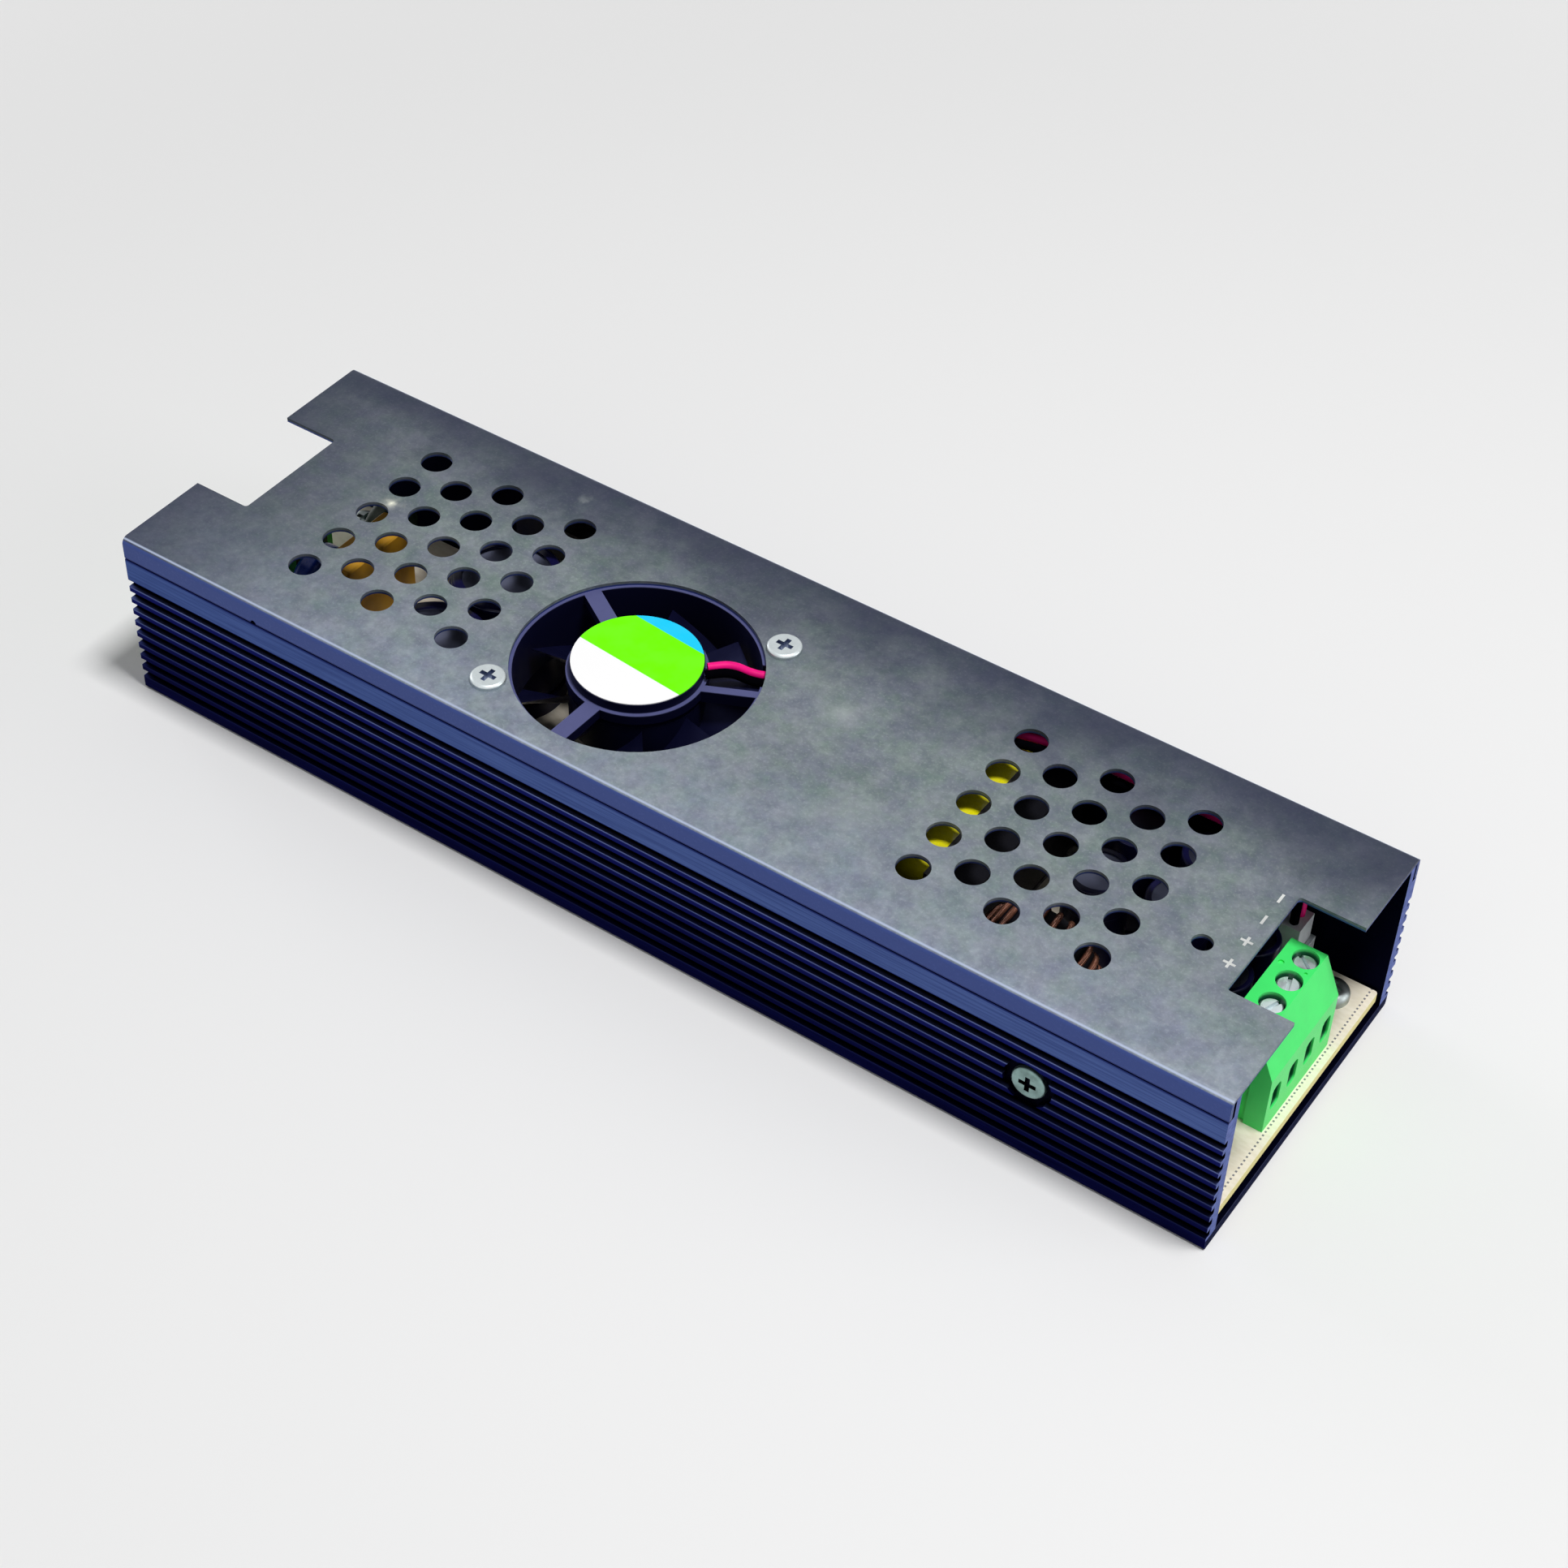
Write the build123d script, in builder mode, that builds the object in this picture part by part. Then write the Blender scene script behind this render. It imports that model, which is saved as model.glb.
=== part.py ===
from build123d import *
import os
from math import cos, radians, sin, tan

os.makedirs("parts", exist_ok=True)

# Driving dimensions, in millimetres. X runs along the case to its output end, Y across it,
# Z up. The origin lies under the middle of the case, on the surface that it stands on.

# Case extrusion
case_length = 198.0
case_width = 56.6
case_height = 31.4
base_thickness = 2.0
wall_thickness = 2.8
groove_pitch = 2.38
groove_width = 1.35
groove_depth = 1.0
groove_foot = 2.0
band_height = 4.5
foot_radius = 0.6

# Sheet cover
cover_thickness = 0.8
cover_bend_radius = 1.2
lip_height = 3.9
lip_gap = 0.7
seam_gap = 0.25
notch_width = 21.6
notch_depth = 10.4
notch_radius = 0.6
vent_diameter = 5.2
vent_row_pitch = 8.09
vent_column_pitch = 7.32
vent_rows = (5, 4, 5, 4, 5)
vent_group_insets = (42.0, 43.0)
adjust_hole_diameter = 3.2
stake_diameter = 1.1
stake_inset = 27.0

# Circuit board and its fixings
sheet_thickness = 0.3
sheet_clearance = 1.0
board_thickness = 1.6
board_height = 5.0
board_inset = 0.5
board_side_clearance = 0.3
board_screw_inset_x = 6.0
board_screw_inset_y = 5.0
spacer_diameter = 6.0
screw_diameter = 3.0
screw_head_diameter = 5.6
screw_head_height = 1.9
screw_crown_share = 0.6
screw_recess_length = 2.8
screw_recess_width = 0.8
screw_recess_depth = 0.7
fan_screw_head_height = 0.9
edge_chamfer = 0.3
fit_clearance = 0.05
mounting_pitch_x = 150.0
mounting_pitch_y = 25.0
mounting_hole_diameter = 3.0

# Fan
fan_inset = 83.2
fan_wall_clearance = 1.1
fan_size = 40.0
fan_depth = 10.0
fan_hole_inset = 4.0
fan_hole_diameter = 3.4
fan_rim = 1.0
fan_opening_margin = 0.5
fan_corner_radius = 3.0
fan_hub_radius = 10.9
fan_hub_thickness = 1.7
fan_boss_radius = 10.3
fan_boss_height = 1.6
fan_strut_width = 2.8
fan_strut_root = 1.0
fan_strut_angles = (148.0, 268.0)
fan_lead_strut_angle = 26.0
fan_blade_count = 9
fan_blade_thickness = 0.9
fan_blade_phase = 15.0
fan_blade_outer_camber = 0.72
fan_blade_inner_camber = 0.18
fan_blade_tip_taper = 0.9
fan_tip_clearance = 0.6
fan_cup_radius = 10.6
fan_cup_wall = 0.9
fan_shaft_diameter = 2.0
fan_shaft_clearance = 0.04
label_thickness = 0.15
label_margin = 0.15

# Terminal blocks
pole_pitch = 5.08
output_poles = 4
input_poles = 3
block_height = 17.35
block_front_height = 10.8
block_depth = 8.6
block_chamfer = 2.8
block_key_inset = 3.6
block_key_width = 1.0
block_mark_places = ((7.6, 0.9), (3.7, 0.5))
block_mark_depth = 0.3
block_inset = 2.0
output_block_y = 1.3
input_block_y = 0.0
well_diameter = 4.0
well_setback = 5.0
entry_width = 2.6
entry_height = 4.6
entry_corner = 0.9
entry_centre_height = 5.7
clamp_travel = 2.4
clamp_screw_diameter = 2.5
clamp_head_diameter = 3.7
clamp_head_height = 1.6
clamp_head_chamfer = 0.3
clamp_head_depth = 0.9
clamp_slot_width = 0.7
clamp_slot_depth = 0.8
clamp_slot_step = 35.0
cage_length = 4.2
cage_width = 3.8
cage_wall = 0.6
cage_window = 4.6
cage_collar = 2.2
cage_clearance = 0.1
contact_thickness = 0.8
contact_width = 2.2
pin_protrusion = 0.8

# Transformer
transformer_fan_clearance = 3.3
transformer_choke_clearance = 0.6
transformer_near_clearance = 8.3
transformer_far_clearance = 1.3
transformer_cover_clearance = 3.2
core_yoke = 5.0
core_side_leg = 4.0
core_gap = 0.3
core_centre_leg = 11.0
bobbin_wall = 1.0
core_height = 15.0
winding_side_clearance = 4.4
winding_wall = 2.2

# Output choke
choke_inset = 40.6
choke_wall_distance = 15.0
choke_outer_radius = 9.2
choke_inner_radius = 5.2
choke_core_height = 9.0
choke_winding_thickness = 1.1

# Line choke
line_choke_inset = 34.0
line_choke_y = -13.8
line_choke_outer_radius = 7.0
line_choke_inner_radius = 4.0
line_choke_core_height = 8.0
line_choke_winding_thickness = 0.8

# Capacitors: each can by its distance from an end of the case and its y
bulk_diameter = 18.0
bulk_top_clearance = 2.1
bulk_inset = 52.0
bulk_wall_clearance = 1.0
bulk_spacing = 0.8
output_can_diameter = 10.0
output_can_height = 20.0
output_can_insets = ((38.6, 4.6), (38.6, 16.6), (26.4, 6.4), (26.4, 17.4))
small_can_diameter = 8.0
small_can_fan_clearance = 1.1
small_can_insets = ((16.0, 2.7), (16.0, 11.3))
supply_can_inset = 73.0
supply_can_y = 5.0
can_groove_share = 0.04
can_dish_share = 0.8
line_capacitor_size = (6.0, 16.0, 15.0)
line_capacitor_corner = 0.5
line_capacitor_inset = 21.8
line_capacitor_y = 4.0

# Small parts of the board
disc_thickness = 4.2
disc_rounding = 1.26
varistor_diameter = 12.0
varistor_inset = 16.6
varistor_y = -2.0
thermistor_diameter = 11.0
thermistor_inset = 16.6
thermistor_y = 15.5
disc_lead_diameter = 0.8
disc_lead_height = 2.6
disc_lead_pitch = 5.0
fuse_diameter = 8.4
fuse_height = 7.6
fuse_chamfer = 0.6
fuse_inset = 17.5
fuse_y = -18.0
safety_disc_diameter = 8.0
safety_disc_insets = ((100.0, 5.0), (35.0, 14.0))
trimmer_inset = 17.3
trimmer_y = -5.0
trimmer_size = 6.6
trimmer_height = 7.0
trimmer_rotor_diameter = 4.0
trimmer_rotor_height = 0.8
trimmer_rotor_depth = 0.6
trimmer_slot_width = 0.8
trimmer_slot_angle = 60.0

# Power devices pressed to the walls by bars
device_width = 10.0
device_body_height = 9.2
device_tab_height = 15.8
device_tab_thickness = 1.3
device_body_thickness = 4.4
device_leg_pitch = 2.54
device_leg_width = 0.8
device_leg_thickness = 0.5
device_hole_diameter = 3.6
device_hole_from_top = 2.8
device_lift = 2.0
pad_thickness = 0.3
pad_margin = 0.6
rectifier_clamp_inset = 30.0
rectifier_spacing = 13.6
mosfet_clamp_inset = 83.0
mosfet_spacing = 16.0
bar_thickness = 2.0
bar_height = 7.0
wall_screw_height = 14.65
bridge_inset = 50.0
bridge_leg_pitch = 5.08
bridge_leg_steps = (-1.5, -0.5, 0.5, 1.5)
bridge_width = 22.0
bridge_height = 18.0
bridge_thickness = 3.6
bridge_lift = 0.8
relief_diameter = 8.0
nut_width = 5.5
nut_height = 2.4

# Fan leads and their connector. The route gives x, y and depth under the cover.
lead_diameter = 1.4
lead_spacing = 1.7
lead_bend = 0.45
lead_start_radius = 10.6
lead_start_rise = 1.0
lead_wall_offset = 2.8
lead_channel_width = 7.0
lead_gate_offset = 1.5
lead_gate_width = 5.0
lead_gate_length = 8.0
lead_bow = (14.2, 1.3)
lead_notch_radii = (17.5, 26.0)
lead_notch_shift = 1.75
lead_notch_depth = 0.9
lead_route = ((24.0, 11.0, 1.6), (40.0, 19.6, 2.0), (68.0, 20.6, 2.9))
lead_turn_depth = 3.7
connector_inset = 13.8
connector_wall_distance = 4.1
connector_width = 4.6
connector_length = 6.0
connector_wall = 0.6
header_height = 6.0
plug_height = 8.0
plug_overlap = 3.0
pin_pitch = 2.0
pin_width = 0.6
pin_reach = 2.0

# Places worked out from the driving dimensions
half_length = case_length / 2
half_width = case_width / 2
inner_half = half_width - wall_thickness
cover_under = case_height - cover_thickness
seam_z = case_height - lip_height
rail_outer = half_width - cover_thickness - lip_gap
board_top = board_height
board_bottom = board_height - board_thickness
board_half_length = half_length - board_inset
board_half_width = inner_half - board_side_clearance
screw_radius = screw_diameter / 2
groove_room = seam_z - band_height - groove_width - groove_foot
groove_count = int(groove_room / groove_pitch) + 1
vent_group_x = (vent_group_insets[0] - half_length, half_length - vent_group_insets[1])
fan_x = fan_inset - half_length
fan_y = fan_size / 2 + fan_wall_clearance - inner_half
fan_top = cover_under
fan_base = fan_top - fan_depth
fan_hole_pitch = fan_size - 2 * fan_hole_inset
fan_bore_radius = fan_size / 2 - fan_rim
fan_opening_radius = fan_bore_radius + fan_opening_margin
board_screw_x = half_length - board_screw_inset_x
board_screw_y = inner_half - board_screw_inset_y
board_screw_places = [
    (x, y) for x in (-board_screw_x, board_screw_x) for y in (-board_screw_y, board_screw_y)
]
fan_screw_places = [(fan_x + s * fan_hole_pitch / 2, fan_y + s * fan_hole_pitch / 2) for s in (-1, 1)]
rectifier_clamp_x = half_length - rectifier_clamp_inset
mosfet_clamp_x = mosfet_clamp_inset - half_length
bridge_x = bridge_inset - half_length
wall_screw_places = [(rectifier_clamp_x, -1), (mosfet_clamp_x, 1), (bridge_x, 1)]
rectifier_x = [rectifier_clamp_x + s * rectifier_spacing / 2 for s in (-1, 1)]
mosfet_x = [mosfet_clamp_x + s * mosfet_spacing / 2 for s in (-1, 1)]

# Places of the parts on the board
choke_x = half_length - choke_inset
choke_y = choke_wall_distance - inner_half
transformer_start = fan_x + fan_size / 2 + transformer_fan_clearance
choke_reach = choke_outer_radius + choke_winding_thickness
transformer_end = choke_x - choke_reach - transformer_choke_clearance
transformer_length = transformer_end - transformer_start
transformer_width = 2 * inner_half - transformer_near_clearance - transformer_far_clearance
transformer_height = cover_under - board_top - transformer_cover_clearance
transformer_x = (transformer_start + transformer_end) / 2
transformer_y = (transformer_near_clearance - transformer_far_clearance) / 2
winding_width = transformer_width - 2 * winding_side_clearance
bulk_x = bulk_inset - half_length
bulk_near_y = bulk_wall_clearance + bulk_diameter / 2 - inner_half
bulk_positions = [(bulk_x, bulk_near_y), (bulk_x, bulk_near_y + bulk_diameter + bulk_spacing)]
bulk_height = cover_under - board_top - bulk_top_clearance
output_can_positions = [(half_length - inset, y) for inset, y in output_can_insets]
small_can_height = fan_base - board_top - small_can_fan_clearance
small_can_positions = [(half_length - inset, y) for inset, y in small_can_insets]
small_can_positions.append((supply_can_inset - half_length, supply_can_y))
line_choke_x = line_choke_inset - half_length
line_capacitor_x = line_capacitor_inset - half_length
varistor_x = varistor_inset - half_length
thermistor_x = thermistor_inset - half_length
fuse_x = fuse_inset - half_length
safety_disc_positions = [(inset - half_length, y) for inset, y in safety_disc_insets]
trimmer_x = half_length - trimmer_inset
connector_x = half_length - connector_inset
connector_y = inner_half - connector_wall_distance


def wall_plane(x, side, distance, height):
    """Plane on a side wall, its normal pointing out of the case."""
    return Plane(origin=(x, side * distance, height), x_dir=(1, 0, 0), z_dir=(0, side, 0))


# Case extrusion: a channel with ribbed walls and a stepped rail along the top of each
with BuildPart() as base_channel:
    with BuildSketch(Plane.YZ):
        with Locations((0, cover_under / 2)):
            Rectangle(case_width, cover_under)
        with Locations((0, base_thickness + cover_under / 2)):
            Rectangle(2 * inner_half, cover_under, mode=Mode.SUBTRACT)
        for side in (-1, 1):
            with Locations((side * (rail_outer + half_width) / 2, seam_z + lip_height / 2 - seam_gap)):
                Rectangle(half_width - rail_outer, lip_height, mode=Mode.SUBTRACT)
            for k in range(groove_count):
                groove_z = seam_z - band_height - groove_width / 2 - k * groove_pitch
                with Locations((side * (half_width - groove_depth / 2), groove_z)):
                    Rectangle(groove_depth, groove_width, mode=Mode.SUBTRACT)
    extrude(amount=half_length, both=True)
    for end in (0, -1):
        foot_edges = base_channel.edges().filter_by(Axis.X).group_by(Axis.Z)[0]
        fillet(foot_edges.sort_by(Axis.Y)[end], radius=foot_radius)
    with Locations(Plane.XY.offset(base_thickness)):
        with Locations(*board_screw_places):
            Hole(radius=screw_radius, depth=base_thickness)
        with GridLocations(mounting_pitch_x, mounting_pitch_y, 2, 2):
            Hole(radius=mounting_hole_diameter / 2, depth=base_thickness)
    for x, side in wall_screw_places:
        with BuildSketch(wall_plane(x, side, half_width, wall_screw_height)):
            Circle(relief_diameter / 2)
        extrude(amount=-groove_depth, mode=Mode.SUBTRACT)
        with BuildSketch(wall_plane(x, side, half_width, wall_screw_height)):
            Circle(screw_radius + fit_clearance)
        extrude(amount=-wall_thickness, mode=Mode.SUBTRACT)
base_channel.part.label = "base_channel"
export_step(base_channel.part, "parts/base_channel.step")

# Sheet cover: bent lips over the rails, end notches, vents and the fan opening
with BuildPart() as top_cover:
    with BuildSketch(Plane.YZ) as cover_section:
        with BuildLine():
            Polyline(
                (-half_width, seam_z),
                (-half_width, case_height),
                (half_width, case_height),
                (half_width, seam_z),
                (half_width - cover_thickness, seam_z),
                (half_width - cover_thickness, cover_under),
                (-half_width + cover_thickness, cover_under),
                (-half_width + cover_thickness, seam_z),
                close=True,
            )
        make_face()
        outer_corners = cover_section.vertices().group_by(Axis.Y)[-1]
        fillet(outer_corners, radius=cover_bend_radius)
        inner_corners = cover_section.vertices().filter_by(
            lambda v: abs(v.Z - cover_under) < 1e-4 and abs(v.Y) < half_width - cover_thickness / 2
        )
        fillet(inner_corners, radius=cover_bend_radius - cover_thickness)
    extrude(amount=half_length, both=True)
    for end in (-1, 1):
        with BuildSketch(Plane.XY.offset(case_height)):
            with Locations((end * half_length, 0)):
                RectangleRounded(2 * notch_depth, notch_width, notch_radius)
        extrude(amount=-cover_thickness, mode=Mode.SUBTRACT)
    with BuildSketch(Plane.XY.offset(case_height)):
        for group_x in vent_group_x:
            for column, rows in enumerate(vent_rows):
                column_x = group_x + (column - (len(vent_rows) - 1) / 2) * vent_column_pitch
                with Locations((column_x, 0)):
                    with GridLocations(vent_column_pitch, vent_row_pitch, 1, rows):
                        Circle(vent_diameter / 2)
        with Locations((fan_x, fan_y)):
            Circle(fan_opening_radius)
        with Locations(*fan_screw_places):
            Circle(screw_radius + fit_clearance)
        with Locations((trimmer_x, trimmer_y)):
            Circle(adjust_hole_diameter / 2)
    extrude(amount=-cover_thickness, mode=Mode.SUBTRACT)
    with BuildSketch(wall_plane(stake_inset - half_length, -1, half_width, seam_z)):
        Circle(stake_diameter / 2)
    extrude(amount=-cover_thickness, mode=Mode.SUBTRACT)
top_cover.part.label = "top_cover"
export_step(top_cover.part, "parts/top_cover.step")

# Places of the terminal blocks: front face, pole places and clamp axis of each
output_front = half_length - block_inset
input_front = -output_front
output_pole_y = [
    output_block_y + (k - (output_poles - 1) / 2) * pole_pitch for k in range(output_poles)
]
input_pole_y = [
    input_block_y + (k - (input_poles - 1) / 2) * pole_pitch for k in range(input_poles)
]
output_clamp_x = output_front - well_setback
input_clamp_x = input_front + well_setback
block_top = board_top + block_height
head_top = block_top - clamp_head_depth
head_base = head_top - clamp_head_height
cage_half = cage_length / 2
entry_z = board_top + entry_centre_height
cage_bottom = entry_z - entry_height / 2 - cage_wall - 2 * cage_clearance
cage_window_base = cage_bottom + cage_wall
cage_window_top = cage_window_base + cage_window
cage_top = cage_window_top + cage_collar
chamber_floor = cage_bottom - cage_clearance
chamber_top = cage_top + clamp_travel + cage_clearance
contact_z = cage_window_top - cage_clearance - contact_thickness
contact_leg_setback = cage_half + cage_clearance + contact_thickness / 2
chamber_back = contact_leg_setback + contact_thickness / 2 + fit_clearance
chamber_front = cage_half + cage_clearance
pin_length = board_thickness + pin_protrusion
device_places = [(x, -1) for x in rectifier_x] + [(x, 1) for x in mosfet_x]
device_leg_places = [
    (x + k * device_leg_pitch, side) for x, side in device_places for k in (-1, 0, 1)
] + [(bridge_x + k * bridge_leg_pitch, 1) for k in bridge_leg_steps]
device_leg_y = inner_half - pad_thickness - device_tab_thickness - device_leg_thickness
bar_face_y = inner_half - pad_thickness - device_body_thickness
bridge_face_y = inner_half - pad_thickness - bridge_thickness
nut_face_y = (bar_face_y - bar_thickness, bar_face_y - bar_thickness, bridge_face_y)
wall_head_height = groove_depth - fit_clearance
header_pin_places = [(connector_x, connector_y + s * pin_pitch / 2) for s in (-1, 1)]

# Insulating sheet between the base and the board
with BuildPart() as insulating_sheet:
    with BuildSketch(Plane.XY.offset(base_thickness)):
        Rectangle(2 * (board_half_length - sheet_clearance), 2 * board_half_width)
        with Locations(*board_screw_places):
            Circle(spacer_diameter / 2 + fit_clearance, mode=Mode.SUBTRACT)
        with GridLocations(mounting_pitch_x, mounting_pitch_y, 2, 2):
            Circle(mounting_hole_diameter, mode=Mode.SUBTRACT)
    extrude(amount=sheet_thickness)
insulating_sheet.part.label = "insulating_sheet"
export_step(insulating_sheet.part, "parts/insulating_sheet.step")

# Spacers under the board
with BuildPart() as board_spacers:
    with BuildSketch(Plane.XY.offset(base_thickness)):
        with Locations(*board_screw_places):
            Circle(spacer_diameter / 2)
            Circle(screw_radius + fit_clearance, mode=Mode.SUBTRACT)
    extrude(amount=board_bottom - base_thickness)
board_spacers.part.label = "board_spacers"
export_step(board_spacers.part, "parts/board_spacers.step")

# Circuit board with its screw holes and lead slots
with BuildPart() as circuit_board:
    with BuildSketch(Plane.XY.offset(board_bottom)):
        RectangleRounded(2 * board_half_length, 2 * board_half_width, foot_radius)
        with Locations(*board_screw_places):
            Circle(screw_radius + 2 * fit_clearance, mode=Mode.SUBTRACT)
        for x, ys, inward in (
            (output_clamp_x, output_pole_y, -1),
            (input_clamp_x, input_pole_y, 1),
        ):
            with Locations(*[(x + inward * contact_leg_setback, y) for y in ys]):
                Rectangle(
                    contact_thickness + 4 * fit_clearance,
                    contact_width / 2 + 4 * fit_clearance,
                    mode=Mode.SUBTRACT,
                )
        with Locations(*[(x, side * device_leg_y) for x, side in device_leg_places]):
            Rectangle(
                device_leg_width + 4 * fit_clearance,
                device_leg_width + 4 * fit_clearance,
                mode=Mode.SUBTRACT,
            )
        with Locations(*header_pin_places):
            Rectangle(pin_width + 4 * fit_clearance, pin_width + 4 * fit_clearance, mode=Mode.SUBTRACT)
    extrude(amount=board_thickness)
circuit_board.part.label = "circuit_board"
export_step(circuit_board.part, "parts/circuit_board.step")


def pan_head_screw(shank_length, head_height=screw_head_height):
    """Cross-head screw along Z, the underside of its head at the origin."""
    with BuildPart() as screw:
        with BuildSketch():
            Circle(screw_head_diameter / 2)
        extrude(amount=head_height)
        head_rim = screw.edges().filter_by(GeomType.CIRCLE).sort_by(Axis.Z)[-1]
        fillet(head_rim, radius=head_height * screw_crown_share)
        with BuildSketch():
            Circle(screw_radius - fit_clearance)
        extrude(amount=-shank_length)
        with BuildSketch(Plane.XY.offset(head_height)):
            Rectangle(screw_recess_length, screw_recess_width)
            Rectangle(screw_recess_width, screw_recess_length)
        extrude(amount=-screw_recess_depth, mode=Mode.SUBTRACT)
    return screw.part


# Screws that hold the board to the base
board_screw = pan_head_screw(board_top - base_thickness / 4)
with BuildPart() as board_screws:
    with Locations(*[(x, y, board_top) for x, y in board_screw_places]):
        add(board_screw)
board_screws.part.label = "board_screws"
export_step(board_screws.part, "parts/board_screws.step")

# Screws that hold the fan to the cover
fan_screw = pan_head_screw(cover_thickness + fan_depth + nut_height, fan_screw_head_height)
with BuildPart() as fan_screws:
    with Locations(*[(x, y, case_height) for x, y in fan_screw_places]):
        add(fan_screw)
fan_screws.part.label = "fan_screws"
export_step(fan_screws.part, "parts/fan_screws.step")

# Screws through the side walls, their low heads sunk in the reliefs
wall_seat_y = half_width - groove_depth
wall_screw_lengths = [wall_seat_y - face_y + nut_height for face_y in nut_face_y]
wall_screw_pieces = [pan_head_screw(length, wall_head_height) for length in wall_screw_lengths]
with BuildPart() as wall_screws:
    for (x, side), wall_screw in zip(wall_screw_places, wall_screw_pieces):
        with Locations(Location((x, side * wall_seat_y, wall_screw_height), (-90 * side, 0, 0))):
            add(wall_screw)
wall_screws.part.label = "wall_screws"
export_step(wall_screws.part, "parts/wall_screws.step")

# Hexagon nuts under the fan and inside the walls
with BuildPart() as hex_nuts:
    nut_planes = [Plane(origin=(x, y, fan_base), z_dir=(0, 0, 1)) for x, y in fan_screw_places]
    for (x, side), face_y in zip(wall_screw_places, nut_face_y):
        nut_planes.append(wall_plane(x, side, face_y, wall_screw_height))
    for nut_plane in nut_planes:
        with BuildSketch(nut_plane):
            RegularPolygon(nut_width / 2, 6, major_radius=False)
            Circle(screw_radius, mode=Mode.SUBTRACT)
        extrude(amount=-nut_height)
hex_nuts.part.label = "hex_nuts"
export_step(hex_nuts.part, "parts/hex_nuts.step")

# Fan frame: square housing, round bore, hub on three struts and the bearing tube
fan_centre = Vector(fan_x, fan_y)
strut_radius = (fan_hub_radius + fan_bore_radius) / 2
strut_length = fan_size / 2 - fan_hub_radius + fan_strut_root
lead_strut_direction = Vector(cos(radians(fan_lead_strut_angle)), sin(radians(fan_lead_strut_angle)))
lead_strut_side = Vector(-lead_strut_direction.Y, lead_strut_direction.X)
lead_floor_z = fan_top - fan_hub_thickness
bearing_radius = fan_shaft_diameter
tube_radius = bearing_radius + 2 * fit_clearance + fan_cup_wall
cup_floor_z = fan_base + fan_tip_clearance
cup_top_z = lead_floor_z - fan_blade_thickness / 2 - fan_tip_clearance
tube_base_z = cup_floor_z + 2 * fan_cup_wall
with BuildPart() as fan_frame:
    with BuildSketch(Plane.XY.offset(fan_base)):
        with Locations((fan_x, fan_y)):
            RectangleRounded(fan_size, fan_size, fan_corner_radius)
            Circle(fan_bore_radius, mode=Mode.SUBTRACT)
            with GridLocations(fan_hole_pitch, fan_hole_pitch, 2, 2):
                Circle(fan_hole_diameter / 2, mode=Mode.SUBTRACT)
    extrude(amount=fan_depth)
    with BuildSketch(Plane.XY.offset(fan_top)):
        for angle in fan_strut_angles:
            with Locations(Location((fan_x, fan_y), angle)):
                with Locations((strut_radius, 0)):
                    Rectangle(strut_length, fan_strut_width)
        with Locations(Location((fan_x, fan_y), fan_lead_strut_angle)):
            with Locations((strut_radius, -lead_wall_offset)):
                Rectangle(strut_length, fan_strut_width / 2)
        with Locations((fan_x, fan_y)):
            Circle(fan_hub_radius)
            RectangleRounded(fan_size, fan_size, fan_corner_radius, mode=Mode.INTERSECT)
    extrude(amount=-fan_hub_thickness)
    with BuildSketch(Plane.XY.offset(lead_floor_z)):
        with Locations(Location((fan_x, fan_y), fan_lead_strut_angle)):
            with Locations((strut_radius, 0)):
                Rectangle(strut_length, lead_channel_width)
    extrude(amount=-fan_blade_thickness / 2)
    with BuildSketch(Plane.XY.offset(fan_top)):
        with Locations(Location((fan_x, fan_y), fan_lead_strut_angle)):
            with Locations((fan_bore_radius + lead_gate_length / 4, lead_gate_offset)):
                Rectangle(lead_gate_length, lead_gate_width)
    extrude(amount=-fan_hub_thickness, mode=Mode.SUBTRACT)
    with BuildSketch(Plane.XY.offset(fan_top)):
        with Locations((fan_x, fan_y)):
            Circle(fan_boss_radius)
    extrude(amount=fan_boss_height)
    with BuildSketch(Plane.XY.offset(lead_floor_z)):
        with Locations((fan_x, fan_y)):
            Circle(tube_radius)
    extrude(amount=tube_base_z - lead_floor_z)
    with BuildSketch(Plane.XY.offset(tube_base_z)):
        with Locations((fan_x, fan_y)):
            Circle(bearing_radius + fit_clearance)
    extrude(amount=lead_floor_z - tube_base_z, mode=Mode.SUBTRACT)
fan_frame.part.label = "fan_frame"
export_step(fan_frame.part, "parts/fan_frame.step")

# Bearing sleeve in the tube of the frame
with BuildPart() as fan_bearing:
    with BuildSketch(Plane.XY.offset(tube_base_z)):
        with Locations((fan_x, fan_y)):
            Circle(bearing_radius)
            Circle(fan_shaft_diameter / 2 + fan_shaft_clearance, mode=Mode.SUBTRACT)
    extrude(amount=lead_floor_z - tube_base_z - fan_cup_wall)
fan_bearing.part.label = "fan_bearing"
export_step(fan_bearing.part, "parts/fan_bearing.step")

# Stator: four wound poles round the bearing tube
magnet_inner_radius = fan_cup_radius - 2 * fan_cup_wall - fit_clearance
stator_radius = magnet_inner_radius - fan_tip_clearance / 2
stator_base_z = cup_floor_z + fan_cup_wall + 2 * fan_tip_clearance
stator_height = cup_top_z - stator_base_z - fan_tip_clearance
with BuildPart() as fan_stator:
    with BuildSketch(Plane.XY.offset(stator_base_z)):
        with Locations((fan_x, fan_y)):
            Circle(tube_radius + 2 * fan_cup_wall)
            with PolarLocations(stator_radius / 2, 4):
                Rectangle(stator_radius, 2 * fan_shaft_diameter)
            with PolarLocations(stator_radius - fan_cup_wall / 2, 4):
                Rectangle(fan_cup_wall, stator_radius)
            Circle(stator_radius, mode=Mode.INTERSECT)
            Circle(tube_radius + fit_clearance, mode=Mode.SUBTRACT)
    extrude(amount=stator_height)
fan_stator.part.label = "fan_stator"
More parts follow.
